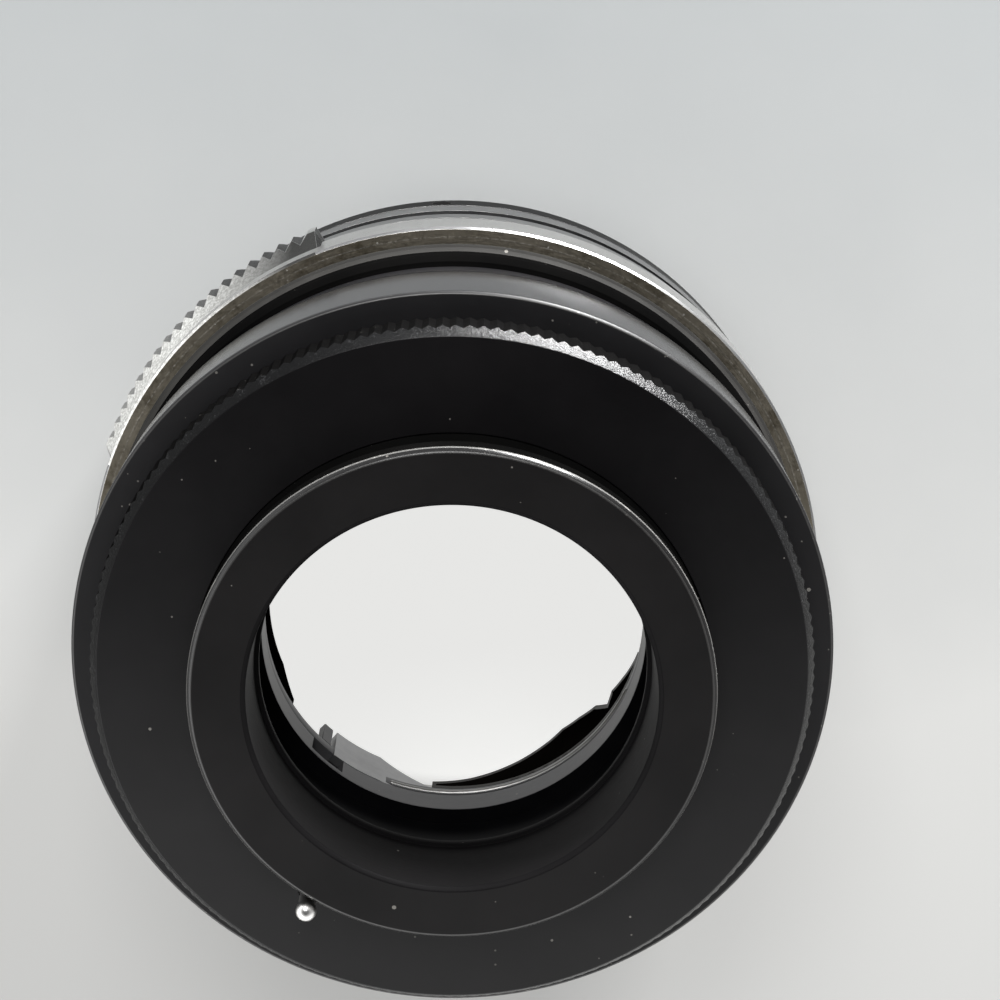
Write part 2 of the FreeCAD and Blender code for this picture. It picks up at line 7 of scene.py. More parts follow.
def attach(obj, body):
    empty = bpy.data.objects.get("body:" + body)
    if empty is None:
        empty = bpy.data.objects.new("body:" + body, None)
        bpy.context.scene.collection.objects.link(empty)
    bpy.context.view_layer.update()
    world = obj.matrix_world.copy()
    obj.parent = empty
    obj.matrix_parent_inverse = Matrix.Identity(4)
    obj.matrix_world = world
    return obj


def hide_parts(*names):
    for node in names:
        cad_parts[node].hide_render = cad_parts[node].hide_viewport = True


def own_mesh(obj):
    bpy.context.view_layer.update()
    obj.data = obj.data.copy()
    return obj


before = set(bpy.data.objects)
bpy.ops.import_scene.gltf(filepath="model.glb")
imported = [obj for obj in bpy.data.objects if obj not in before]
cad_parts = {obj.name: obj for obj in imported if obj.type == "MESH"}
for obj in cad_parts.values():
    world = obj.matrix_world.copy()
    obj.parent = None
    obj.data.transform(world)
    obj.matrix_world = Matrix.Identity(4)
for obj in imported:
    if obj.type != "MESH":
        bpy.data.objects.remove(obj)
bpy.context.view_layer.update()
mm = 0.001


# Node helpers

def addNode(tree, kind, inputs=None, **settings):
    item = tree.nodes.new(kind)
    for key, value in settings.items():
        setattr(item, key, value)
    for key, value in (inputs or {}).items():
        if isinstance(value, bpy.types.NodeSocket):
            tree.links.new(value, item.inputs[key])
        else:
            item.inputs[key].default_value = value
    return item


def wire(tree, value, socket):
    tree.links.new(value, socket)


def calc(tree, operation, first, second=0.0):
    return addNode(tree, "ShaderNodeMath", {0: first, 1: second}, operation=operation).outputs[0]


def ramp(tree, factor, low, high):
    item = addNode(tree, "ShaderNodeMapRange", {"Value": factor, "From Min": low, "From Max": high})
    return item.outputs["Result"]


def mixColour(tree, factor, first, second):
    item = addNode(tree, "ShaderNodeMix", {0: factor, 6: first, 7: second}, data_type="RGBA")
    return item.outputs[2]


def noise(tree, point, scale, detail=3.0, rough=0.55):
    item = addNode(tree, "ShaderNodeTexNoise", {"Vector": point, "Scale": scale, "Detail": detail,
                                                "Roughness": rough})
    return item.outputs["Fac"]


def splitPoint(tree, point):
    return addNode(tree, "ShaderNodeSeparateXYZ", {0: point}).outputs


def lathePoint(tree, point, around=0.004):
    # radius, a slow turn round the axis, and height: noise on it runs in rings like tool marks
    x, y, z = splitPoint(tree, point)
    radius = calc(tree, "SQRT", calc(tree, "ADD", calc(tree, "MULTIPLY", x, x), calc(tree, "MULTIPLY", y, y)))
    turn = calc(tree, "MULTIPLY", calc(tree, "ARCTAN2", y, x), around)
    return addNode(tree, "ShaderNodeCombineXYZ", {0: radius, 1: turn, 2: z}).outputs[0]


def specks(tree, point, scale, size, share):
    # a few small dots: cells of a Voronoi pattern, kept where the cell's own number is high
    cells = addNode(tree, "ShaderNodeTexVoronoi", {"Vector": point, "Scale": scale, "Randomness": 1.0})
    parts = addNode(tree, "ShaderNodeSeparateColor", {0: cells.outputs["Color"]})
    kept = calc(tree, "GREATER_THAN", parts.outputs[0], 1.0 - share)
    reach = calc(tree, "MULTIPLY", parts.outputs[1], size)
    inside = calc(tree, "LESS_THAN", cells.outputs["Distance"], reach)
    return calc(tree, "MULTIPLY", kept, inside)


def startMaterial(name):
    material = bpy.data.materials.new(name)
    material.use_nodes = True
    tree = material.node_tree
    shader = tree.nodes["Principled BSDF"]
    point = addNode(tree, "ShaderNodeTexCoord").outputs["Object"]
    return material, tree, shader, point


def setRough(tree, shader, value, share, base):
    wire(tree, calc(tree, "ADD", calc(tree, "MULTIPLY", value, share), base), shader.inputs["Roughness"])


def setBump(tree, shader, height, strength, depth):
    bump = addNode(tree, "ShaderNodeBump", {"Height": height, "Strength": strength, "Distance": depth * mm})
    wire(tree, bump.outputs[0], shader.inputs["Normal"])


# Finishes

satinLook = {
    "streakScale": 6000, "grainScale": 7000, "cloudScale": 70, "relief": 0.35, "reliefDepth": 0.04,
    "fleckScale": 620, "fleckSize": 0.12, "lintScale": 1500, "lintSize": 0.16, "lintShare": 0.8,
    "lintCover": 0.6, "dustTone": (0.30, 0.285, 0.26, 1), "dustCover": 0.55, "shadeFrom": -12, "shadeTo": 24,
}


def satinFinish(name, dark, light, rough, spread=0.10, grain=0.25, streak=0.10, dust=0.06, metal=0.0,
                gloss=0.5, paintedShade=0.0):
    spec = satinLook
    material, tree, shader, point = startMaterial(name)
    rings = noise(tree, lathePoint(tree, point), spec["streakScale"], 2.0)
    fine = noise(tree, point, spec["grainScale"], 2.0)
    cloud = noise(tree, point, spec["cloudScale"], 4.0, 0.6)
    tone = mixColour(tree, ramp(tree, cloud, 0.35, 0.68), dark, light)
    flecks = specks(tree, point, spec["fleckScale"], spec["fleckSize"], dust)
    lint = specks(tree, point, spec["lintScale"], spec["lintSize"], dust * spec["lintShare"])
    dusty = calc(tree, "MAXIMUM", flecks, calc(tree, "MULTIPLY", lint, spec["lintCover"]))
    tone = mixColour(tree, calc(tree, "MULTIPLY", dusty, spec["dustCover"]), tone, spec["dustTone"])
    wire(tree, tone, shader.inputs["Base Color"])
    level = calc(tree, "ADD", calc(tree, "MULTIPLY", rings, spread), calc(tree, "MULTIPLY", cloud, spread))
    wire(tree, calc(tree, "ADD", level, rough - spread), shader.inputs["Roughness"])
    height = calc(tree, "ADD", calc(tree, "MULTIPLY", fine, grain), calc(tree, "MULTIPLY", rings, streak))
    setBump(tree, shader, height, spec["relief"], spec["reliefDepth"])
    shader.inputs["Metallic"].default_value = metal
    shader.inputs["Specular IOR Level"].default_value = gloss
    if paintedShade:
        # painted shade: less gloss toward the far side, so that side reads darker
        far = ramp(tree, splitPoint(tree, point)[1], spec["shadeFrom"] * mm, spec["shadeTo"] * mm)
        lost = calc(tree, "MULTIPLY", far, gloss * paintedShade)
        wire(tree, calc(tree, "SUBTRACT", gloss, lost), shader.inputs["Specular IOR Level"])
    return material


gritLook = {"grainScale": 5200, "patchScale": 900, "patchShare": 0.6, "soft": 0.16, "relief": 0.55,
            "reliefDepth": 0.09, "paintedShade": 0.2, "shadeFrom": -12, "shadeTo": 3}


def grittyFinish(name, dark, light, rough, cover, gloss):
    # paint rubbed on a knurled edge: coarse grain that catches the light, with painted shade: less gloss
    # toward the left side
    spec = gritLook
    material, tree, shader, point = startMaterial(name)
    grain = noise(tree, point, spec["grainScale"], 3.0, 0.7)
    patch = calc(tree, "MULTIPLY", noise(tree, point, spec["patchScale"], 3.0, 0.6), spec["patchShare"])
    worn = ramp(tree, calc(tree, "ADD", grain, patch), cover, cover + spec["soft"])
    wire(tree, mixColour(tree, worn, dark, light), shader.inputs["Base Color"])
    setRough(tree, shader, grain, 0.2, rough - 0.1)
    setBump(tree, shader, grain, spec["relief"], spec["reliefDepth"])
    # painted shade: toward the left the gloss falls to a fifth
    least = gloss * spec["paintedShade"]
    near = ramp(tree, splitPoint(tree, point)[0], spec["shadeFrom"] * mm, spec["shadeTo"] * mm)
    unshadedGloss = calc(tree, "MULTIPLY", near, gloss - least)
    shader.inputs["Specular IOR Level"].default_value = gloss
    wire(tree, calc(tree, "ADD", unshadedGloss, least), shader.inputs["Specular IOR Level"])
    return material


wornLook = {"patchScale": 260, "nickScale": 2600, "nickShare": 0.5, "soft": 0.22, "metal": 0.7, "rough": 0.26}


def wornEdge(name, paint, metalTone, cover):
    # finish rubbed thin along an edge, patchy round the ring
    spec = wornLook
    material, tree, shader, point = startMaterial(name)
    patch = noise(tree, point, spec["patchScale"], 4.0, 0.65)
    nicks = noise(tree, point, spec["nickScale"], 2.0)
    wear = calc(tree, "ADD", patch, calc(tree, "MULTIPLY", nicks, spec["nickShare"]))
    bare = ramp(tree, wear, cover, cover + spec["soft"])
    wire(tree, mixColour(tree, bare, paint, metalTone), shader.inputs["Base Color"])
    wire(tree, calc(tree, "MULTIPLY", bare, spec["metal"]), shader.inputs["Metallic"])
    setRough(tree, shader, nicks, 0.2, spec["rough"])
    return material


def turnedMetal(name, tone, shade, rough, spread=0.16, scale=7000, marks=0.3, edge=1.0):
    # fine lathe marks; edge dims what the metal reflects at a grazing angle
    material, tree, shader, point = startMaterial(name)
    rings = noise(tree, lathePoint(tree, point), scale, 3.0, 0.65)
    cloud = noise(tree, point, 110, 4.0, 0.6)
    wire(tree, mixColour(tree, ramp(tree, cloud, 0.3, 0.7), tone, shade), shader.inputs["Base Color"])
    setRough(tree, shader, rings, spread, rough - spread / 2)
    setBump(tree, shader, rings, marks, 0.03)
    shader.inputs["Metallic"].default_value = 1.0
    shader.inputs["Specular Tint"].default_value = (edge, edge, edge, 1)
    return material


faceLook = {
    "scratchRadius": 31.84, "scratchWidth": 0.09, "sheenFrom": 31.32, "sheenTo": 30.85, "cloudScale": 110,
    "stainScale": 420, "stainCover": 0.8, "breakScale": 3800, "scratchCover": 0.4, "nickScale": 2200,
    "nickSize": 0.20, "nickShare": 0.14, "nickCover": 0.6, "markScale": 5200, "rough": 0.30,
}


def stainedFace(name, tone, shade, stain, paintedSheen):
    # old plating on the flat of the ring: brown stain, a scuffed line, and a painted reflection: a paler zone
    # inside
    spec = faceLook
    material, tree, shader, point = startMaterial(name)
    swept = lathePoint(tree, point)
    radius = splitPoint(tree, swept)[0]
    rings = noise(tree, swept, spec["markScale"], 3.0, 0.65)
    cloud = noise(tree, point, spec["cloudScale"], 4.0, 0.6)
    colour = mixColour(tree, ramp(tree, cloud, 0.3, 0.7), tone, shade)
    blot = ramp(tree, noise(tree, point, spec["stainScale"], 5.0, 0.7), 0.50, 0.66)
    colour = mixColour(tree, calc(tree, "MULTIPLY", blot, spec["stainCover"]), colour, stain)
    away = calc(tree, "ABSOLUTE", calc(tree, "SUBTRACT", radius, spec["scratchRadius"] * mm))
    line = ramp(tree, away, spec["scratchWidth"] * mm, 0.0)
    broken = ramp(tree, noise(tree, point, spec["breakScale"], 5.0, 0.75), 0.42, 0.66)
    scratch = calc(tree, "MULTIPLY", line, calc(tree, "MULTIPLY", broken, spec["scratchCover"]))
    nicks = specks(tree, point, spec["nickScale"], spec["nickSize"], spec["nickShare"])
    scuff = calc(tree, "MAXIMUM", scratch, calc(tree, "MULTIPLY", nicks, spec["nickCover"]))
    # painted reflection: the face turns paler inside
    inner = ramp(tree, radius, spec["sheenFrom"] * mm, spec["sheenTo"] * mm)
    colour = mixColour(tree, calc(tree, "MAXIMUM", scuff, inner), colour, paintedSheen)
    wire(tree, colour, shader.inputs["Base Color"])
    level = calc(tree, "ADD", calc(tree, "MULTIPLY", rings, 0.16), calc(tree, "MULTIPLY", broken, 0.12))
    wire(tree, calc(tree, "ADD", level, spec["rough"]), shader.inputs["Roughness"])
    setBump(tree, shader, calc(tree, "ADD", rings, calc(tree, "MULTIPLY", scuff, 0.6)), 0.6, 0.03)
    shader.inputs["Metallic"].default_value = 1.0
    return material


blastLook = {"coarseScale": 3600, "fineScale": 11000, "fineShare": 0.4, "relief": 0.6, "reliefDepth": 0.08}


def blastedMetal(name, tone, shade, shadeRamp, rough):
    # rough bright plating: a coarse grain that sparkles, with painted shade: darker toward the end of the
    # grip
    spec = blastLook
    material, tree, shader, point = startMaterial(name)
    coarse = noise(tree, point, spec["coarseScale"], 3.0, 0.7)
    fine = noise(tree, point, spec["fineScale"], 2.0)
    colour = mixColour(tree, ramp(tree, coarse, 0.40, 0.62), shade, tone)
    across = calc(tree, "ABSOLUTE", splitPoint(tree, point)[0])
    paintedShade = ramp(tree, across, shadeRamp["from"] * mm, shadeRamp["to"] * mm)
    wire(tree, mixColour(tree, paintedShade, colour, shadeRamp["tone"]), shader.inputs["Base Color"])
    setRough(tree, shader, fine, 0.25, rough - 0.12)
    height = calc(tree, "ADD", coarse, calc(tree, "MULTIPLY", fine, spec["fineShare"]))
    setBump(tree, shader, height, spec["relief"], spec["reliefDepth"])
    shader.inputs["Metallic"].default_value = 1.0
    return material


def brushedSheet(name, tone, shade, rough):
    # rolled sheet metal: long fine lines round the bend
    material, tree, shader, point = startMaterial(name)
    lines = noise(tree, lathePoint(tree, point, 0.0006), 5200, 3.0, 0.6)
    cloud = noise(tree, point, 300, 4.0, 0.6)
    wire(tree, mixColour(tree, ramp(tree, cloud, 0.3, 0.7), tone, shade), shader.inputs["Base Color"])
    setRough(tree, shader, lines, 0.2, rough - 0.1)
    setBump(tree, shader, lines, 0.25, 0.02)
    shader.inputs["Metallic"].default_value = 1.0
    return material


enamelLook = {"cloudScale": 240, "ringScale": 2600, "lintScale": 900, "lintSize": 0.14, "lintShare": 0.05,
              "lintCover": 0.4, "lintTone": (0.3, 0.29, 0.27, 1), "gloss": 0.03}


def glossEnamel(name, dark, light, rough):
    # smooth black enamel with faint rings and a little lint
    spec = enamelLook
    material, tree, shader, point = startMaterial(name)
    cloud = noise(tree, point, spec["cloudScale"], 3.0)
    rings = noise(tree, lathePoint(tree, point), spec["ringScale"], 2.0)
    colour = mixColour(tree, ramp(tree, cloud, 0.35, 0.7), dark, light)
    lint = specks(tree, point, spec["lintScale"], spec["lintSize"], spec["lintShare"])
    colour = mixColour(tree, calc(tree, "MULTIPLY", lint, spec["lintCover"]), colour, spec["lintTone"])
    wire(tree, colour, shader.inputs["Base Color"])
    setRough(tree, shader, cloud, 0.10, rough - 0.05)
    setBump(tree, shader, rings, 0.08, 0.04)
    shader.inputs["Specular IOR Level"].default_value = spec["gloss"]
    return material


bodyBlack = satinFinish("bodyBlack", (0.0034, 0.0032, 0.0037, 1), (0.0060, 0.0056, 0.0064, 1), 0.42,
                        dust=0.26, gloss=0.36)
ringSide = satinFinish("ringSide", (0.0060, 0.0058, 0.0066, 1), (0.0105, 0.0102, 0.0112, 1), 0.19,
                       spread=0.05, grain=0.10, dust=0.05, gloss=0.20)
# painted shade: a darker, matte black for the shoulder and the collar's groove, where shade falls
grooveShadeBlack = satinFinish("grooveShadeBlack", (0.0018, 0.0018, 0.0018, 1), (0.0032, 0.0031, 0.0030, 1), 0.78,
                            dust=0.06, gloss=0.0)
# painted shade: the disc and the collar lose gloss toward the far side
discBlack = satinFinish("discBlack", (0.0030, 0.0028, 0.0031, 1), (0.0052, 0.0048, 0.0052, 1), 0.44,
                        gloss=0.40, paintedShade=0.85)
collarBlack = satinFinish("collarBlack", (0.0050, 0.0047, 0.0048, 1), (0.0082, 0.0076, 0.0077, 1), 0.44,
                          dust=0.10, gloss=0.20, paintedShade=0.6)
boreBlack = satinFinish("boreBlack", (0.0044, 0.0042, 0.0044, 1), (0.0066, 0.0062, 0.0066, 1), 0.58,
                        streak=0.5, dust=0.03, gloss=0.05)
chamferBlack = satinFinish("chamferBlack", (0.0040, 0.0038, 0.0039, 1), (0.0065, 0.0061, 0.0062, 1), 0.22,
                           dust=0.10, gloss=0.34)
bevelGrit = grittyFinish("bevelGrit", (0.0036, 0.0036, 0.0038, 1), (0.022, 0.022, 0.023, 1), 0.25, 0.90, 0.33)
knurlDust = grittyFinish("knurlDust", (0.0022, 0.0021, 0.0021, 1), (0.060, 0.057, 0.054, 1), 0.66, 1.00, 0.04)
edgeBlack = wornEdge("edgeBlack", (0.020, 0.0195, 0.019, 1), (0.42, 0.41, 0.39, 1), 0.90)
collarEdge = wornEdge("collarEdge", (0.016, 0.0155, 0.015, 1), (0.22, 0.21, 0.20, 1), 0.92)
# painted highlight: a light grey along the lip's thin edges, with patches rubbed to metal
collarLineWearAndSheen = wornEdge("collarLineWearAndSheen", (0.10, 0.098, 0.094, 1), (0.34, 0.33, 0.31, 1), 0.80)
tubeGloss = glossEnamel("tubeGloss", (0.0022, 0.0022, 0.0026, 1), (0.0036, 0.0036, 0.0041, 1), 0.34)
sleeveGrey = satinFinish("sleeveGrey", (0.058, 0.058, 0.061, 1), (0.084, 0.083, 0.086, 1), 0.42,
                         streak=0.4, dust=0.02, metal=0.35)
chromeBand = turnedMetal("chromeBand", (0.54, 0.535, 0.525, 1), (0.44, 0.435, 0.425, 1), 0.30)
# painted shade: darker copies of the band's chrome for the rear and middle bands and the face's outer chamfer
chromeRearShade = turnedMetal("chromeRearShade", (0.072, 0.072, 0.072, 1), (0.051, 0.051, 0.052, 1), 0.32,
                         spread=0.24, scale=4200, edge=0.35)
chromeMiddleShade = turnedMetal("chromeMiddleShade", (0.30, 0.30, 0.30, 1), (0.23, 0.23, 0.234, 1), 0.32,
                           spread=0.24, scale=4200, edge=0.75)
chromeFace = stainedFace("chromeFace", (0.29, 0.262, 0.21, 1), (0.20, 0.180, 0.14, 1),
                         (0.10, 0.084, 0.057, 1), (0.78, 0.765, 0.73, 1))
# painted shade: the plating darkens toward the grip's end
gripBright = blastedMetal("gripBright", (0.98, 0.975, 0.95, 1), (0.60, 0.595, 0.57, 1),
                          {"from": 23.5, "to": 14, "tone": (0.05, 0.049, 0.047, 1)}, 0.52)
# painted shade: a darker copy of the grip's plating for the teeth's shaded sides
notchDark = blastedMetal("notchDark", (0.42, 0.415, 0.40, 1), (0.26, 0.257, 0.25, 1),
                         {"from": 29, "to": 20, "tone": (0.012, 0.0115, 0.011, 1)}, 0.40)
chromeEdge = turnedMetal("chromeEdge", (0.74, 0.73, 0.70, 1), (0.62, 0.61, 0.58, 1), 0.32, spread=0.10)
# a lighter grey for the shoulder's lip: worn edge, and painted highlight
lipWearAndSheen = satinFinish("lipWearAndSheen", (0.020, 0.0195, 0.0185, 1), (0.034, 0.033, 0.031, 1), 0.62,
                       dust=0.20, gloss=0.06)
pinSteel = turnedMetal("pinSteel", (0.86, 0.85, 0.83, 1), (0.78, 0.77, 0.75, 1), 0.30,
                       spread=0.05, marks=0.05)
screwSteel = turnedMetal("screwSteel", (0.50, 0.495, 0.48, 1), (0.38, 0.375, 0.36, 1), 0.32)
darkSteel = satinFinish("darkSteel", (0.0030, 0.0026, 0.0022, 1), (0.0060, 0.0052, 0.0044, 1), 0.52,
                        gloss=0.0)
rimSteel = satinFinish("rimSteel", (0.020, 0.019, 0.017, 1), (0.034, 0.032, 0.029, 1), 0.45, gloss=0.22)
leverGrey = brushedSheet("leverGrey", (0.36, 0.36, 0.365, 1), (0.28, 0.28, 0.285, 1), 0.44)
springSteel = brushedSheet("springSteel", (0.36, 0.355, 0.345, 1), (0.26, 0.256, 0.248, 1), 0.44)
bushBrass = turnedMetal("bushBrass", (0.66, 0.49, 0.22, 1), (0.52, 0.37, 0.16, 1), 0.28)
dotEnamel = satinFinish("dotEnamel", (0.0025, 0.0023, 0.0023, 1), (0.005, 0.0046, 0.0046, 1), 0.62,
                        gloss=0.02)
print("finishes made:", len(bpy.data.materials))


# Mesh helpers, with sizes in millimetres and angles in degrees

slack = 0.05  # how far a face or point may be from the place it is picked by
mostFinishes = 7


def turnAll(bm, angle, axis="Z"):
    bmesh.ops.rotate(bm, verts=bm.verts, cent=(0, 0, 0), matrix=Matrix.Rotation(radians(angle), 3, axis))


def moveAll(bm, x, y, z):
    bmesh.ops.translate(bm, verts=bm.verts, vec=(x * mm, y * mm, z * mm))


def spinAll(bm, sweep, steps, rise=0.0, full=False):
    bmesh.ops.spin(bm, geom=bm.verts[:] + bm.edges[:], cent=(0, 0, 0), axis=(0, 0, 1), dvec=(0, 0, rise * mm),
                   angle=radians(sweep), steps=steps, use_merge=full, use_duplicate=False)


def closeEnds(bm):
    bmesh.ops.holes_fill(bm, edges=[edge for edge in bm.edges if edge.is_boundary], sides=0)


def turnProfile(corners, steps=360, sweep=360.0, start=0.0):
    bm = bmesh.new()
    loop = [bm.verts.new((r * mm, 0, z * mm)) for r, z in corners]
    for pair in zip(loop, loop[1:] + loop[:1]):
        bm.edges.new(pair)
    turnAll(bm, start)
    full = sweep > 359.9
    spinAll(bm, sweep, steps, full=full)
    if not full:
        closeEnds(bm)
    bmesh.ops.remove_doubles(bm, verts=bm.verts, dist=1e-7)
    bmesh.ops.recalc_face_normals(bm, faces=bm.faces)
    return bm


def wireEnd(radius, wireRadius, height, segments):
    # the round section of a wire, standing at a radius and ready to be spun
    bm = bmesh.new()
    bmesh.ops.create_circle(bm, segments=segments, radius=wireRadius * mm)
    turnAll(bm, 90, "X")
    moveAll(bm, radius, 0, height)
    return bm


def bevelEdges(bm, edges, width, segments):
    return bmesh.ops.bevel(bm, geom=edges, offset=width * mm, offset_type="OFFSET", segments=segments,
                           profile=0.5, affect="EDGES", clamp_overlap=True, material=-1)["faces"]


def breakEdges(bm, width, segments=2, limit=20, mark=None, keep=None):
    sharp = [edge for edge in bm.edges if len(edge.link_faces) == 2
             and edge.calc_face_angle(0) > radians(limit) and (keep is None or keep(edge))]
    made = bevelEdges(bm, sharp, width, segments)
    if mark is not None:
        for face in made:
            face.material_index = mark
    bm.normal_update()


def polarOf(spot):
    return hypot(spot.x, spot.y) / mm, degrees(atan2(spot.y, spot.x)) % 360, spot.z / mm


def polar(vert):
    return polarOf(vert.co)


def faceSpot(face):
    return polarOf(face.calc_center_median())


def setPolar(vert, r, z):
    scale = r * mm / hypot(vert.co.x, vert.co.y)
    vert.co = (vert.co.x * scale, vert.co.y * scale, z * mm)


def upRod(radius, low, high, x=0.0, y=0.0, segments=48, top=None):
    bm = bmesh.new()
    place = Matrix.Translation((x * mm, y * mm, (low + high) / 2 * mm))
    upper = radius if top is None else top
    bmesh.ops.create_cone(bm, cap_ends=True, segments=segments, radius1=radius * mm, radius2=upper * mm,
                          depth=(high - low) * mm, matrix=place)
    return bm


def sideRod(radius, inner, outer, angle, z, segments=48):
    bm = upRod(radius, inner, outer, segments=segments)
    turnAll(bm, 90, "Y")
    turnAll(bm, angle)
    moveAll(bm, 0, 0, z)
    return bm


def block(size, middle, angle=0.0):
    bm = bmesh.new()
    bmesh.ops.create_cube(bm, size=1.0)
    bmesh.ops.scale(bm, verts=bm.verts, vec=Vector(size) * mm)
    moveAll(bm, *middle)
    turnAll(bm, angle)
    return bm


def plate(corners, inner, outer, angle):
    # an outline drawn across the radius at one angle, pushed out along that radius
    bm = bmesh.new()
    face = bm.faces.new([bm.verts.new((inner * mm, u * mm, z * mm)) for u, z in corners])
    pushed = bmesh.ops.extrude_face_region(bm, geom=[face])["geom"]
    moved = [item for item in pushed if isinstance(item, bmesh.types.BMVert)]
    bmesh.ops.translate(bm, verts=moved, vec=((outer - inner) * mm, 0, 0))
    turnAll(bm, angle)
    bmesh.ops.recalc_face_normals(bm, faces=bm.faces)
    return bm


def toMesh(bm, name):
    mesh = bpy.data.meshes.new(name)
    bm.to_mesh(mesh)
    bm.free()
    return mesh


def addTo(bm, other):
    mesh = toMesh(other, "part")
    bm.from_mesh(mesh)
    bpy.data.meshes.remove(mesh)


def cutAway(bm, *cutters):
    base = bpy.data.objects.new("base", toMesh(bm, "base"))
    for slotIndex in range(mostFinishes):
        base.data.materials.append(None)  # empty slots, so that the cut keeps each face's finish number
    bpy.context.collection.objects.link(base)
    tools = []
    for cutter in cutters:
        tool = bpy.data.objects.new("tool", toMesh(cutter, "tool"))
        bpy.context.collection.objects.link(tool)
        step = base.modifiers.new("cut", "BOOLEAN")
        step.operation, step.solver, step.object = "DIFFERENCE", "EXACT", tool
        tools.append(tool)
    result = bmesh.new()
    done = bpy.data.meshes.new_from_object(base.evaluated_get(bpy.context.evaluated_depsgraph_get()))
    result.from_mesh(done)
    for item in tools + [base]:
        mesh = item.data
        bpy.data.objects.remove(item)
        bpy.data.meshes.remove(mesh)
    bpy.data.meshes.remove(done)
    return result


def finishPiece(name, bm, body, nodes, slotName, *materials, smooth=38):
    bmesh.ops.recalc_face_normals(bm, faces=bm.faces)
    mesh = toMesh(bm, name)
    for material in materials:
        mesh.materials.append(material)
    mesh.shade_smooth()
    mesh.set_sharp_from_angle(angle=radians(smooth))
    piece = bpy.data.objects.new(name, mesh)
    bpy.context.collection.objects.link(piece)
    even = piece.modifiers.new("faceNormals", "WEIGHTED_NORMAL")
    even.keep_sharp = True
    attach(piece, body)
    if nodes:
        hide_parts(*nodes)
    used = sorted({face.material_index for face in mesh.polygons})
    print(name, "made,", len(mesh.polygons), "faces, finishes", used)
    return piece


# Barrel

coreBarrel = {
    "profile": [(26.2, 8.1), (29.6, 8.1), (29.6, 18), (31.3, 18), (31.3, 18.04), (31.05, 18.12),
                (30.75, 18.42), (30.75, 19.8), (30.25, 20.3), (29.8, 20.3), (29.8, 26.2), (29, 26.2),
                (29, 33), (27, 33), (27, 27.5), (19.2, 27.5), (19.2, 36), (18.5, 36), (18.5, 23), (26.2, 23)],
    "edge": 0.10, "neckRadius": 29.7, "shoulderLow": 17.9, "shoulderHigh": 20.5, "lipRadius": 30.7,
    "lipHigh": 18.45, "holeLow": 7.5, "holeHigh": 10.5,
}
retainer = {
    "profile": [(26.2, 6.9), (30.5, 6.9), (30.5, 8.1), (26.2, 8.1)],
    "screws": [45, 135, 225, 315], "circle": 27.9, "edge": 0.08, "hole": 0.65, "holeLow": 6.5,
    "holeHigh": 8.6, "sink": 1.35, "sinkLow": 6.7, "sinkHigh": 7.4,
}


def retainerSpots():
    circle = retainer["circle"]
    return [(circle * cos(radians(a)), circle * sin(radians(a)), a) for a in retainer["screws"]]


def makeCoreBarrel():
    spec = coreBarrel
    bm = turnProfile(spec["profile"])
    breakEdges(bm, spec["edge"], mark=1)
    for face in bm.faces:
        r, angle, z = faceSpot(face)
        # painted shade: the shoulder gets the darker matte black (2)
        if r > spec["neckRadius"] and spec["shoulderLow"] < z < spec["shoulderHigh"]:
            # the lip: worn edge and painted highlight (3)
            face.material_index = 3 if z < spec["lipHigh"] and r > spec["lipRadius"] else 2
    holes = [upRod(retainer["hole"], spec["holeLow"], spec["holeHigh"], x, y)
             for x, y, angle in retainerSpots()]
    bm = cutAway(bm, *holes)
    return finishPiece("coreBarrel", bm, "barrel", ["core_barrel"], "satin_black", bodyBlack, edgeBlack,
                       grooveShadeBlack, lipWearAndSheen)


mainRing = {
    "profile": [(29.05, 26.2), (30.50, 26.2), (30.68, 26.38), (30.80, 27.5), (30.90, 29), (30.97, 31),
                (31, 33.5), (31, 35.8), (30.8, 36), (19.25, 36), (19.25, 33), (29.05, 33)],
    "around": 480, "edge": 0.07, "sideRadius": 30.7, "sideTilt": 0.3, "pinHole": 1.25, "pinHoleLow": 32.6,
    "pinHoleHigh": 36.4,
}
setScrew = {
    "angles": [210, 270, 330], "height": 29.6, "radius": 0.95, "foot": 29.05, "top": 30.75, "edge": 0.08,
    "socket": 0.5, "socketDepth": 0.8, "room": 0.05, "holeInner": 28.6, "holeOuter": 31.6,
}


def makeMainRing():
    spec, screw = mainRing, setScrew
    bm = turnProfile(spec["profile"], spec["around"])
    breakEdges(bm, spec["edge"], mark=1)
    for face in bm.faces:
        if abs(face.normal.z) < spec["sideTilt"] and faceSpot(face)[0] > spec["sideRadius"]:
            face.material_index = 2
    holes = [sideRod(screw["radius"] + screw["room"], screw["holeInner"], screw["holeOuter"], angle,
                     screw["height"]) for angle in screw["angles"]]
    holes.append(upRod(spec["pinHole"], spec["pinHoleLow"], spec["pinHoleHigh"], pin["x"], pin["y"]))
    bm = cutAway(bm, *holes)
    return finishPiece("mainRing", bm, "barrel", ["main_ring"], "satin_black", bodyBlack, edgeBlack, ringSide)


def makeSetScrews():
    spec = setScrew
    whole = bmesh.new()
    for angle in spec["angles"]:
        bm = sideRod(spec["radius"], spec["foot"], spec["top"], angle, spec["height"])
        breakEdges(bm, spec["edge"])
        hexKey = sideRod(spec["socket"], spec["top"] - spec["socketDepth"], spec["top"] + 0.5, angle,
                         spec["height"], 6)
        addTo(whole, cutAway(bm, hexKey))
    return finishPiece("setScrews", whole, "barrel", ["set_screws"], "dark_steel", darkSteel)


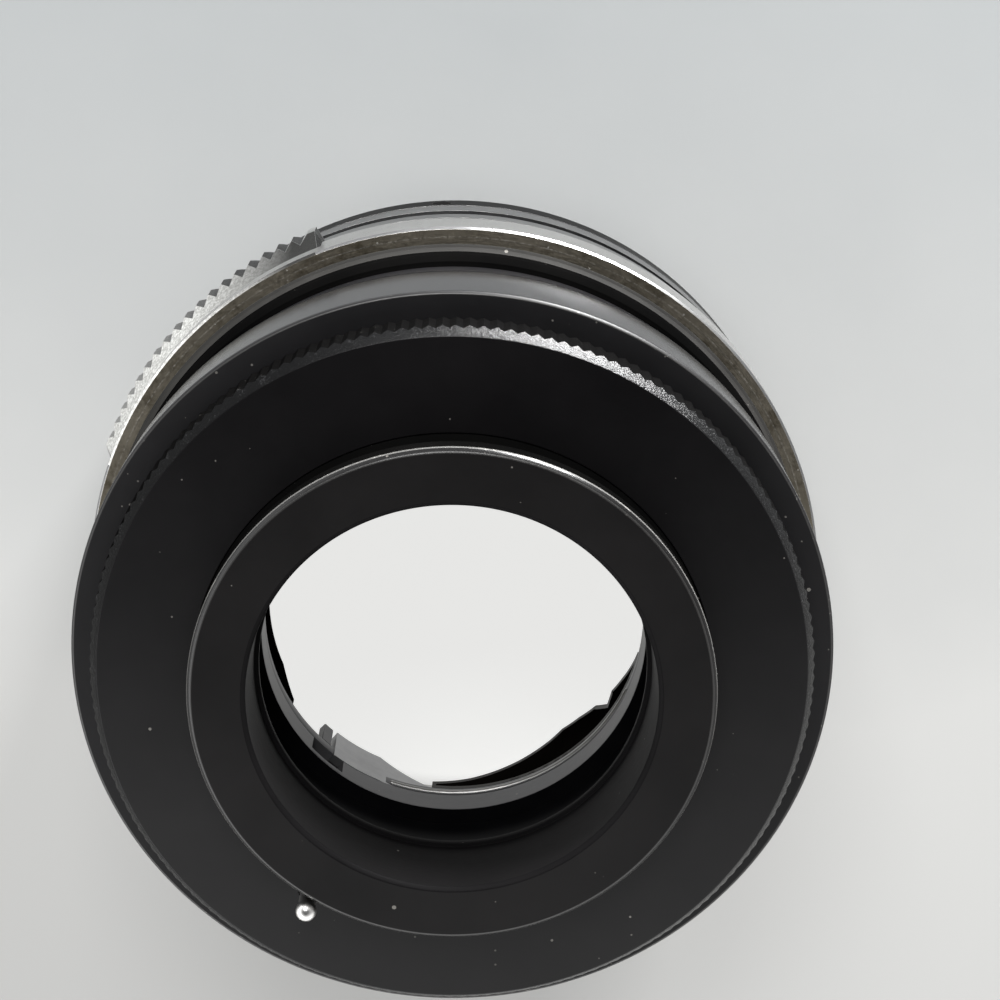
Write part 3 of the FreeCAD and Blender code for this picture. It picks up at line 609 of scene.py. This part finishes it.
frontDisc = {
    "profile": [(20.75, 36), (29, 36), (29, 38.8), (28.3, 39.7), (20.75, 39.7)],
    "teeth": 174, "perTooth": 4, "depth": 0.2, "edge": 0.07, "bevelTilt": 0.3, "holeLow": 35.5,
    "holeHigh": 40.5,
}
pin = {
    "circle": 21.98, "angle": 236.9, "radius": 0.7, "room": 0.2, "tail": 30.34, "flange": 1.4,
    "flangeLow": 31.84, "flangeHigh": 32.94, "head": 0.86, "headCentre": 42.87, "headSweep": 124,
    "headSteps": 22, "around": 64,
}
pin["x"] = pin["circle"] * cos(radians(pin["angle"]))
pin["y"] = pin["circle"] * sin(radians(pin["angle"]))


def toothDip(step, perTooth):
    # how deep a column lies in its tooth: 0 on the crest, 1 in the valley
    half = perTooth / 2
    return 1 - abs(step - half) / half


def makeFrontDisc():
    spec = frontDisc
    columns = spec["teeth"] * spec["perTooth"]
    bm = turnProfile(spec["profile"], columns)
    (rim, top), (bevelRadius, faceHeight) = spec["profile"][2:4]
    slope = (faceHeight - top) / (rim - bevelRadius)
    breakEdges(bm, spec["edge"], keep=lambda edge: all(polar(v)[0] < rim - 2 * slack for v in edge.verts))
    for vert in bm.verts:
        r, angle, z = polar(vert)
        if r > rim - slack:
            step = round(angle / 360 * columns) % spec["perTooth"]
            sunk = spec["depth"] * toothDip(step, spec["perTooth"])
            setPolar(vert, rim - sunk, z + (slope * sunk if z > top - slack else 0))
    bm.normal_update()
    for face in bm.faces:
        if faceSpot(face)[0] > bevelRadius:
            face.material_index = 1 if face.normal.z > spec["bevelTilt"] else 2
    hole = upRod(pin["radius"] + pin["room"], spec["holeLow"], spec["holeHigh"], pin["x"], pin["y"])
    bm = cutAway(bm, hole)
    return finishPiece("frontDisc", bm, "barrel", ["front_disc"], "satin_black", discBlack, bevelGrit,
                       knurlDust, smooth=30)


spigotCollar = {
    "profile": [(15.75, 36), (20.7, 36), (20.7, 39.7), (20.1, 39.75), (20.1, 41.65), (20.7, 41.7),
                (20.7, 43.25), (20.35, 43.6), (16.4, 43.6), (16.1, 43.3), (16.1, 36.6), (15.75, 36.6)],
    "around": 420, "edge": 0.09, "boreRadius": 16.5, "footHigh": 40, "sideHigh": 43.2,
    "lipEdges": [(41.6, 42), (43.1, 43.4)], "chamferRadius": 20, "chamferTilt": (0.69, 0.72),
}


def makeCollar():
    spec = spigotCollar
    bm = turnProfile(spec["profile"], spec["around"])
    breakEdges(bm, spec["edge"], mark=2)
    least, most = spec["chamferTilt"]
    for face in bm.faces:
        r, angle, z = faceSpot(face)
        onEdge = face.material_index == 2
        if r < spec["boreRadius"]:
            face.material_index = 1
        # painted shade: the collar's foot and groove get the darker matte black (5)
        elif z < spec["footHigh"] or (not onEdge and z < spec["sideHigh"]):
            face.material_index = 5
        # painted highlight: the lip's edge lines get the light grey (4)
        elif onEdge and any(low < z < high for low, high in spec["lipEdges"]):
            face.material_index = 4
        elif least < face.normal.z < most and r > spec["chamferRadius"]:
            face.material_index = 3
    return finishPiece("spigotCollar", bm, "barrel", ["spigot_collar"], "satin_black",
                       collarBlack, boreBlack, collarEdge, chamferBlack, collarLineWearAndSheen, grooveShadeBlack)


baffleTube = {"profile": [(17.6, 29.3), (18.45, 29.3), (18.45, 36), (17.6, 36)], "edge": 0.06}
sleeve = {
    "profile": [(16.25, 26.5), (18.45, 26.5), (18.45, 29.3), (16.25, 29.3)], "edge": 0.10, "topTilt": 0.9,
    "slotAngle": 226.6, "slotRadius": 17.3, "slotLength": 6, "slotWidth": 3.5, "slotHeight": 2.2,
}


def makeBaffleTube():
    bm = turnProfile(baffleTube["profile"])
    breakEdges(bm, baffleTube["edge"])
    return finishPiece("baffleTube", bm, "barrel", ["baffle_tube"], "gloss_black", tubeGloss)


def makeSleeve():
    spec = sleeve
    bm = turnProfile(spec["profile"])
    breakEdges(bm, spec["edge"])
    low = spec["profile"][0][1]
    for face in bm.faces:
        face.material_index = 1 if face.normal.z > spec["topTilt"] else 0
    middle = (spec["slotRadius"], 0, low + (spec["slotHeight"] - 1) / 2)
    slot = block((spec["slotLength"], spec["slotWidth"], spec["slotHeight"] + 1), middle, spec["slotAngle"])
    bm = cutAway(bm, slot)
    return finishPiece("sleeve", bm, "barrel", ["sleeve"], "satin_grey", sleeveGrey, tubeGloss)


couplingClip = {"profile": [(17.5, 23.7), (18.45, 23.7), (18.45, 24.7), (17.5, 24.7)], "edge": 0.08,
                "gap": (4.0, 6, 3), "gapMiddle": (0, 18, 24.2)}


def makeClip():
    spec = couplingClip
    bm = turnProfile(spec["profile"])
    breakEdges(bm, spec["edge"])
    bm = cutAway(bm, block(spec["gap"], spec["gapMiddle"]))
    return finishPiece("couplingClip", bm, "barrel", ["coupling_clip"], "spring_steel", springSteel)


def makeRetainer():
    spec = retainer
    bm = turnProfile(spec["profile"])
    breakEdges(bm, spec["edge"])
    cutters = []
    for x, y, angle in retainerSpots():
        cutters.append(upRod(spec["hole"], spec["holeLow"], spec["holeHigh"], x, y))
        cutters.append(upRod(spec["sink"], spec["sinkLow"], spec["sinkHigh"], x, y, top=spec["hole"]))
    bm = cutAway(bm, *cutters)
    return finishPiece("breechRetainer", bm, "barrel", ["breech_retainer"], "satin_grey", sleeveGrey)


retainerScrew = {
    "head": 1.1, "shank": 0.6, "core": 0.001, "low": 6.9, "headHigh": 7.4, "high": 10.5, "around": 40,
    "slot": 0.34, "slotLength": 3.0, "slotDepth": 0.3, "slotTurn": 30,
}


def makeRetainerScrews():
    spec = retainerScrew
    head, shank, core, low, high = (spec[key] for key in ("head", "shank", "core", "low", "high"))
    profile = [(core, low), (head, low), (shank, spec["headHigh"]), (shank, high), (core, high)]
    slotSize = (spec["slotLength"], spec["slot"], spec["slotDepth"] * 2)
    whole = bmesh.new()
    for x, y, angle in retainerSpots():
        bm = turnProfile(profile, spec["around"])
        moveAll(bm, x, y, 0)
        bmesh.ops.remove_doubles(bm, verts=bm.verts, dist=core * 3 * mm)  # closes the tiny hole on its axis
        slot = block(slotSize, (0, 0, low), angle + spec["slotTurn"])
        moveAll(slot, x, y, 0)
        addTo(whole, cutAway(bm, slot))
    return finishPiece("retainerScrews", whole, "barrel", ["retainer_screws"], "screw_steel", screwSteel)


# Coupling

couplingRing = {"profile": [(16.35, 25), (18.44, 25), (18.44, 26.2), (16.35, 26.2)], "edge": 0.08}
couplingLip = {"radius": 16.46, "height": 25.74, "wire": 0.28, "start": 249, "span": 87.5, "around": 14,
               "steps": 90, "rounding": 0.7}
lever = {"inner": 16.35, "outer": 17.05, "low": 21.8, "high": 25.0, "edge": 0.06, "cutInner": 8,
         "cutOuter": 20}
leverPlate = {"start": 229, "span": 33, "flat": 16, "inner": 16.27, "high": 26.42, "bend": 0.03}
leverFinger = {"start": 224, "span": 3.6, "tip": 0.45, "tipSteps": 4, "wall": 0.5}
camArm = {
    "start": 262.5, "span": 85, "low": 19.3, "strip": 1.3, "rim": 0.45,
    # the lower edge, as shares of the half width and strips above the lowest point
    "wave": [(0.71, 2.4), (0.57, 1.7), (0.5, 2.7), (0.38, 0.9), (0.2, 0.2), (0.03, 0), (-0.09, 0.6),
             (-0.35, 1.6)],
    # its two ends, as shares of the half width and strips below the top
    "farDrop": 0.2, "farCorner": (0.96, 0.3), "nearCorner": (-0.73, 1.5), "nearDrop": 0.5,
}
camGuard = {"start": 178, "span": 31.5, "flat": 22.5, "low": 21.5}


def leverStrip(low, start, span, inner=lever["inner"], high=lever["high"]):
    outer = lever["outer"]
    profile = [(inner, low), (outer, low), (outer, high), (inner, high)]
    return turnProfile(profile, max(6, int(span)), span, start)


def leverCut(corners, spec):
    return plate(corners, lever["cutInner"], lever["cutOuter"], spec["start"] + spec["span"] / 2)


def slantCut(spec, low):
    # the wedge that takes the lower edge from level up to the strip's far end
    high, wall = lever["high"], lever["outer"] - lever["inner"]
    fold = lever["inner"] * sin(radians(spec["flat"] - spec["span"] / 2))
    end = lever["outer"] * sin(radians(spec["span"] / 2))
    past = end + wall
    wedge = [(fold, low), (fold, low - wall), (past, low - wall), (past, high - wall), (end, high - wall)]
    return leverCut(wedge, spec)


def makeCouplingRing():
    bm = turnProfile(couplingRing["profile"])
    breakEdges(bm, couplingRing["edge"])
    return finishPiece("couplingRing", bm, "coupling", ["coupling_ring"], "satin_grey", sleeveGrey)


def makeCouplingLip():
    spec = couplingLip
    bm = wireEnd(spec["radius"], spec["wire"], spec["height"], spec["around"])
    turnAll(bm, spec["start"])
    spinAll(bm, spec["span"], spec["steps"])
    closeEnds(bm)
    breakEdges(bm, spec["wire"] * spec["rounding"], 4, 60)
    return finishPiece("couplingLip", bm, "coupling", [], "spring_steel", springSteel)


def makeLeverPlate():
    spec, low = leverPlate, lever["low"]
    bm = leverStrip(low, spec["start"], spec["span"], spec["inner"], spec["high"])
    bm = cutAway(bm, slantCut(spec, low))
    for vert in bm.verts:
        r, angle, z = polar(vert)
        past = angle - spec["start"] - spec["flat"]
        if past > 0:
            setPolar(vert, r + past * spec["bend"], z)
    breakEdges(bm, lever["edge"], 1, 30)
    return finishPiece("leverPlate", bm, "coupling", ["lever_plate"], "satin_grey", leverGrey)


def makeLeverFinger():
    spec = leverFinger
    bm = leverStrip(lever["low"], spec["start"], spec["span"])
    tips = []
    for edge in bm.edges:
        first, second = [polar(vert) for vert in edge.verts]
        atFoot = max(first[2], second[2]) < lever["low"] + slack
        if atFoot and abs(first[0] - second[0]) > spec["wall"] and edge.calc_face_angle(0) > 1:
            tips.append(edge)
    bevelEdges(bm, tips, spec["tip"], spec["tipSteps"])
    breakEdges(bm, lever["edge"], 1, 50)
    return finishPiece("leverFinger", bm, "coupling", ["lever_finger"], "satin_grey", sleeveGrey)


def makeCamArm():
    spec, high = camArm, lever["high"]
    low, strip = spec["low"], spec["strip"]
    half = lever["outer"] * sin(radians(spec["span"] / 2))
    near, far = -half - strip, half + strip
    (farAlong, farDown), (nearAlong, nearDown) = spec["farCorner"], spec["nearCorner"]
    edge = [(near, low - strip), (far, low - strip), (far, high - strip * spec["farDrop"]),
            (half * farAlong, high - strip * farDown)]
    edge += [(half * along, low + strip * rise) for along, rise in spec["wave"]]
    edge += [(half * nearAlong, high - strip * nearDown), (near, high - strip * spec["nearDrop"])]
    whole = cutAway(leverStrip(low, spec["start"], spec["span"]), leverCut(edge, spec))
    whole.normal_update()
    inner = [face for face in whole.faces
             if faceSpot(face)[0] < lever["inner"] + slack and abs(face.normal.z) < 0.2]
    rim = bmesh.ops.inset_region(whole, faces=inner, thickness=spec["rim"] * mm, depth=0, use_boundary=True,
                                 use_even_offset=True)
    for face in rim["faces"]:
        face.material_index = 1
    guard = leverStrip(camGuard["low"], camGuard["start"], camGuard["span"])
    addTo(whole, cutAway(guard, slantCut(camGuard, camGuard["low"])))
    breakEdges(whole, lever["edge"], 1, 50)
    return finishPiece("camArm", whole, "coupling", ["cam_arm"], "dark_steel", darkSteel, rimSteel)


# Pin

def makePin():
    spec = pin
    radius, flange = spec["radius"], spec["flange"]
    bm = bmesh.new()
    tip = bm.verts.new((0, 0, (spec["headCentre"] + spec["head"]) * mm))
    bmesh.ops.spin(bm, geom=[tip], cent=(0, 0, spec["headCentre"] * mm), axis=(0, 1, 0), dvec=(0, 0, 0),
                   angle=radians(spec["headSweep"]), steps=spec["headSteps"], use_duplicate=False)
    last = min(bm.verts, key=lambda vert: vert.co.z)
    below = [(radius, last.co.z / mm), (radius, spec["flangeHigh"]), (flange, spec["flangeHigh"]),
             (flange, spec["flangeLow"]), (radius, spec["flangeLow"]), (radius, spec["tail"]),
             (0, spec["tail"])]
    for r, z in below:
        new = bm.verts.new((r * mm, 0, z * mm))
        bm.edges.new((last, new))
        last = new
    spinAll(bm, 360, spec["around"], full=True)
    bmesh.ops.remove_doubles(bm, verts=bm.verts, dist=1e-6)
    moveAll(bm, spec["x"], spec["y"], 0)
    return finishPiece("couplingPin", bm, "pin", ["coupling_pin"], "polished_steel", pinSteel)


pinSpring = {"radius": 1.1, "wire": 0.16, "low": 27.72, "high": 31.62, "turns": 5, "perTurn": 28,
             "around": 10, "kept": 0.5}


def makePinSpring():
    # the coil round the pin, wound from its seat up toward the flange, with a mesh of its own
    spec = pinSpring
    bm = wireEnd(spec["radius"], spec["wire"], spec["low"], spec["around"])
    steps = spec["turns"] * spec["perTurn"]
    spinAll(bm, 360 * spec["turns"], steps, rise=(spec["high"] - spec["low"]) / steps)
    closeEnds(bm)
    moveAll(bm, pin["x"], pin["y"], 0)
    piece = finishPiece("pinSpring", bm, "barrel", ["pin_spring"], "spring_steel", springSteel)
    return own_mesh(piece)


# Breech ring

breechRing = {
    "profile": [(30.9, 0), (31.9, 0), (32.1, 0.2), (32.1, 2.9), (31.85, 2.9), (31.85, 3.15), (32.1, 3.15),
                (32.1, 5.9), (31.6, 5.9), (31.6, 7.7), (32.1, 7.7), (32.1, 9.6), (31.6, 9.6), (31.6, 10.4),
                (31.6, 11.4), (32.1, 11.4), (32.1, 13.3), (32.7, 13.3), (32.7, 15.37), (32.7, 17.5),
                (32.5, 17.7), (29.66, 17.7), (29.66, 14.1), (29.66, 11.9), (29.66, 8.4), (30.9, 8.4),
                (30.9, 2.4)],
    "edge": 0.08, "gripStart": 111, "gripSpan": 48, "teeth": 19, "perTooth": 4, "toothDepth": 0.5,
    "gripRadius": 33.75, "gripFoot": 31.6, "gripLow": 10.4, "gripBreak": 0.2, "gripRise": 1.2,
    "gripStep": 0.02, "gripFirst": 13, "gripLast": 17, "gripEnd": 2, "flankLow": 12.7,
    "flankSlope": 4.2 / 1.65,
    "lugCorners": (0, 26), "lugAngles": [40, 160, 280], "lugSpan": 44, "lugRadius": 28.3,
    "grooveCorners": (22, 23), "grooveStart": 142.87, "grooveEnd": 202.13, "grooveRadius": 30.75,
}
indexDot = {"angle": 92, "height": 1.6, "radius": 0.84, "inner": 31.5, "outer": 32.1, "edge": 0.12,
            "hole": 0.9, "holeOuter": 32.9}
# where each finish of the ring begins and ends
breechZones = {
    "faceHeight": 17.7, "faceTilt": 0.95, "flankHeight": 16.5, "flankRadius": 32.3, "rimHigh": 17.55,
    "cornerRadius": 32.5, "cornerLow": 17.4, "gripRadius": 32.72, "toothRadius": 32.75, "shaded": (-80, -12),
    "bandInner": 31, "bandOuter": 32.2, "bandHigh": 11.5, "rearHigh": 3.1, "grooveRadius": 31.9,
    "upright": 0.2, "slope": 0.6, "shallow": 0.8,
}


def within(angle, start, end):
    return (angle - start) % 360 <= (end - start) % 360


def onLug(angle):
    half = breechRing["lugSpan"] / 2
    return any(within(angle, middle - half, middle + half) for middle in breechRing["lugAngles"])


def gripShape(depth):
    # the grip's outline on one column, for a tooth sunk by depth
    spec = breechRing
    radius, low = spec["gripRadius"] - depth, spec["gripLow"]
    edge = min(radius, spec["gripRadius"] - spec["gripBreak"])
    corners = [(spec["gripFoot"], low), (edge, low), (radius, low + (radius - edge) + spec["gripStep"]),
               (radius, low + spec["gripRise"]), (radius, spec["flankLow"] + depth * spec["flankSlope"])]
    return dict(zip(range(spec["gripFirst"], spec["gripLast"] + 1), corners))


def breechFinish(face):
    # 0 band, 1 face, 2 edge, 3 grip, 4 shaded side of a tooth, 5 rear and 6 middle, both darker with painted
    # shade
    zone, up = breechZones, face.normal.z
    r, angle, z = faceSpot(face)
    turned = (degrees(atan2(face.normal.y, face.normal.x)) - angle + 180) % 360 - 180
    shaded = zone["shaded"][0] < turned < zone["shaded"][1]
    nearGrip = (angle - breechRing["gripStart"]) % 180 <= breechRing["gripSpan"]
    if up > zone["faceTilt"] and abs(z - zone["faceHeight"]) < slack:
        return 1
    if nearGrip and z > zone["flankHeight"] and r > zone["flankRadius"] and up > zone["upright"]:
        return 3
    if face.material_index == 2 and (r < zone["flankRadius"] or z < zone["rimHigh"]):
        return 0
    if r > zone["cornerRadius"] and z > zone["cornerLow"] and zone["slope"] < up < zone["shallow"]:
        return 6
    if r > zone["gripRadius"] and zone["upright"] < up < zone["slope"]:
        return 3
    if r > zone["toothRadius"] and abs(up) < zone["upright"] and shaded:
        return 4
    if zone["bandInner"] < r < zone["bandOuter"] and z < zone["bandHigh"]:
        return 5 if z < zone["rearHigh"] or r < zone["grooveRadius"] else 6
    return face.material_index


def makeBreechRing():
    spec, dot = breechRing, indexDot
    pitch = spec["gripSpan"] / spec["teeth"] / spec["perTooth"]
    columns = round(360 / pitch)
    last, end = round(spec["gripSpan"] / pitch), spec["gripEnd"]
    bm = turnProfile(spec["profile"], columns, start=spec["gripStart"] % pitch)
    spots = {(round(r, 2), round(z, 2)): index for index, (r, z) in enumerate(spec["profile"])}
    for vert in bm.verts:
        r, angle, z = polar(vert)
        index = spots[(round(r, 2), round(z, 2))]
        column = round((angle - spec["gripStart"]) / pitch) % (columns // 2)
        if column <= last and spec["gripFirst"] <= index <= spec["gripLast"]:
            phase = 0 if column <= end or column >= last - end else (column - end) % spec["perTooth"]
            depth = spec["toothDepth"] * toothDip(phase, spec["perTooth"])
            setPolar(vert, *gripShape(depth)[index])
        elif index in spec["lugCorners"] and onLug(angle):
            setPolar(vert, spec["lugRadius"], z)
        elif index in spec["grooveCorners"] and within(angle, spec["grooveStart"], spec["grooveEnd"]):
            setPolar(vert, spec["grooveRadius"], z)
    bm.normal_update()
    breakEdges(bm, spec["edge"], mark=2, limit=25)
    for face in bm.faces:
        face.material_index = breechFinish(face)
    bm = cutAway(bm, sideRod(dot["hole"], dot["inner"], dot["holeOuter"], dot["angle"], dot["height"]))
    return finishPiece("breechRing", bm, "breech", ["breech_ring"], "chromed_brass", chromeBand, chromeFace,
                       chromeEdge, gripBright, notchDark, chromeRearShade, chromeMiddleShade, smooth=30)


def makeIndexDot():
    spec = indexDot
    bm = sideRod(spec["radius"], spec["inner"], spec["outer"], spec["angle"], spec["height"])
    breakEdges(bm, spec["edge"], 3)
    return finishPiece("indexDot", bm, "breech", ["index_dot"], "dot_enamel", dotEnamel)


makeCoreBarrel()
makeMainRing()
makeSetScrews()
makeFrontDisc()
makeCollar()
makeBaffleTube()
makeSleeve()
makeClip()
makeRetainer()
makeRetainerScrews()
makeCouplingRing()
makeCouplingLip()
makeLeverPlate()
makeLeverFinger()
makeCamArm()
makePin()
makePinSpring()
makeBreechRing()
makeIndexDot()

hiddenFinish = {"pin_bush": bushBrass, "disc_screws": screwSteel, "stop_screw": screwSteel}
for node, material in hiddenFinish.items():
    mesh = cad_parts[node].data
    mesh.materials.clear()
    mesh.materials.append(material)
print("inner fittings finished:", len(hiddenFinish))


# Stage, in metres

floorLook = {
    "size": 3.0, "drop": 0.00002, "rough": 0.8, "farTone": (0.415, 0.432, 0.436, 1),
    "nearTone": (0.67, 0.67, 0.655, 1), "farFrom": 0.06, "nearFrom": -0.01, "cloudScale": 30.0,
    "cloudShare": 0.02, "lightPoolTone": (3.95, 3.95, 3.88, 1), "lightPoolFrom": 0.031, "lightPoolTo": 0.027, "glow": 0.20,
    "shadowShare": 0.66,
}


def makeFloor():
    spec = floorLook
    bm = bmesh.new()
    bmesh.ops.create_grid(bm, x_segments=1, y_segments=1, size=spec["size"] / 2)
    bmesh.ops.translate(bm, verts=bm.verts, vec=(0, 0, -spec["drop"]))
    material, tree, shader, point = startMaterial("paleFloor")
    cloud = calc(tree, "MULTIPLY", noise(tree, point, spec["cloudScale"], 3.0), spec["cloudShare"])
    away = calc(tree, "ADD", splitPoint(tree, point)[1], cloud)
    close = ramp(tree, away, spec["farFrom"], spec["nearFrom"])
    tone = mixColour(tree, close, spec["farTone"], spec["nearTone"])
    # painted pool of light: near the axis, under the bore, the floor glows brighter
    middle = addNode(tree, "ShaderNodeVectorMath", {0: point}, operation="LENGTH").outputs["Value"]
    lit = mixColour(tree, ramp(tree, middle, spec["lightPoolFrom"], spec["lightPoolTo"]), tone, spec["lightPoolTone"])
    shader.inputs["Roughness"].default_value = spec["rough"]
    path = addNode(tree, "ShaderNodeLightPath").outputs
    seen = calc(tree, "MAXIMUM", path["Is Camera Ray"],
                calc(tree, "MAXIMUM", path["Is Glossy Ray"], path["Is Transmission Ray"]))
    shade = addNode(tree, "ShaderNodeVectorMath", {0: tone, 3: spec["shadowShare"]}, operation="SCALE")
    wire(tree, mixColour(tree, seen, tone, shade.outputs[0]), shader.inputs["Base Color"])
    wire(tree, lit, shader.inputs["Emission Color"])
    wire(tree, calc(tree, "MULTIPLY", seen, spec["glow"]), shader.inputs["Emission Strength"])
    floor = bpy.data.objects.new("floor", toMesh(bm, "floor"))
    floor.data.materials.append(material)
    bpy.context.collection.objects.link(floor)


lampAim = (0, 0, 0.03)
lamps = {
    "keyPanel": {"place": (0.155, 0.325, 0.052), "wide": 0.10, "tall": 0.08, "power": 4.2},
    "backPanel": {"place": (-0.03, 0.28, 0.30), "wide": 0.16, "tall": 0.16, "power": 1.0},
}


def makeLamps():
    for name, spec in lamps.items():
        lamp = bpy.data.lights.new(name, "AREA")
        lamp.shape, lamp.energy = "RECTANGLE", spec["power"]
        lamp.size, lamp.size_y = spec["wide"], spec["tall"]
        item = bpy.data.objects.new(name, lamp)
        item.location = spec["place"]
        item.visible_camera = False
        item.rotation_euler = (Vector(lampAim) - Vector(spec["place"])).to_track_quat("-Z", "Y").to_euler()
        bpy.context.collection.objects.link(item)


room = {"horizon": (1.0, 1.0, 1.0, 1), "overhead": (0.030, 0.031, 0.035, 1), "highest": 0.92, "lowest": 0.40,
        "lean": 0.30, "leftGain": 2.1, "nearGain": 1.6, "backGain": 0.3, "level": 0.40}


def makeRoom():
    # a dim ceiling over pale walls, brighter to the left and in front
    spec = room
    world = bpy.data.worlds.new("softRoom")
    bpy.context.scene.world = world
    world.use_nodes = True
    tree = world.node_tree
    way = addNode(tree, "ShaderNodeTexCoord").outputs["Generated"]
    across, away, height = splitPoint(tree, way)
    leaned = calc(tree, "ADD", height, calc(tree, "MULTIPLY", away, spec["lean"]))
    low = ramp(tree, leaned, spec["highest"], spec["lowest"])
    left = calc(tree, "MULTIPLY", calc(tree, "MINIMUM", across, 0.0), -spec["leftGain"])
    near = calc(tree, "MULTIPLY", calc(tree, "MINIMUM", away, 0.0), -spec["nearGain"])
    back = calc(tree, "MULTIPLY", calc(tree, "MAXIMUM", away, 0.0), spec["backGain"])
    gain = calc(tree, "ADD", calc(tree, "ADD", left, near), calc(tree, "ADD", back, spec["level"]))
    sky = tree.nodes["Background"]
    wire(tree, mixColour(tree, low, spec["overhead"], spec["horizon"]), sky.inputs["Color"])
    strength = addNode(tree, "ShaderNodeMix", {0: low, 2: 1.0, 3: gain}, data_type="FLOAT").outputs[0]
    wire(tree, strength, sky.inputs["Strength"])


cameraView = {
    "lens": 72, "sensor": 36, "clip": (0.005, 20), "place": (0.0021005, 0.0626487, 0.186835),
    "right": (0.99992, -0.00215, 0.01215), "up": (0.00577, 0.95201, -0.30601),
    "back": (-0.01091, 0.30606, 0.95195),
}


def makeCamera():
    spec = cameraView
    camera = bpy.data.cameras.new("camera")
    camera.lens, camera.sensor_width = spec["lens"], spec["sensor"]
    camera.clip_start, camera.clip_end = spec["clip"]
    turn = Matrix((spec["right"], spec["up"], spec["back"])).transposed().to_4x4()
    item = bpy.data.objects.new("camera", camera)
    item.matrix_world = Matrix.Translation(spec["place"]) @ turn
    bpy.context.collection.objects.link(item)
    bpy.context.scene.camera = item


makeFloor()
makeLamps()
makeRoom()
makeCamera()
bpy.context.scene.view_settings.view_transform = "Standard"
print("stage set")

bpy.context.view_layer.update()
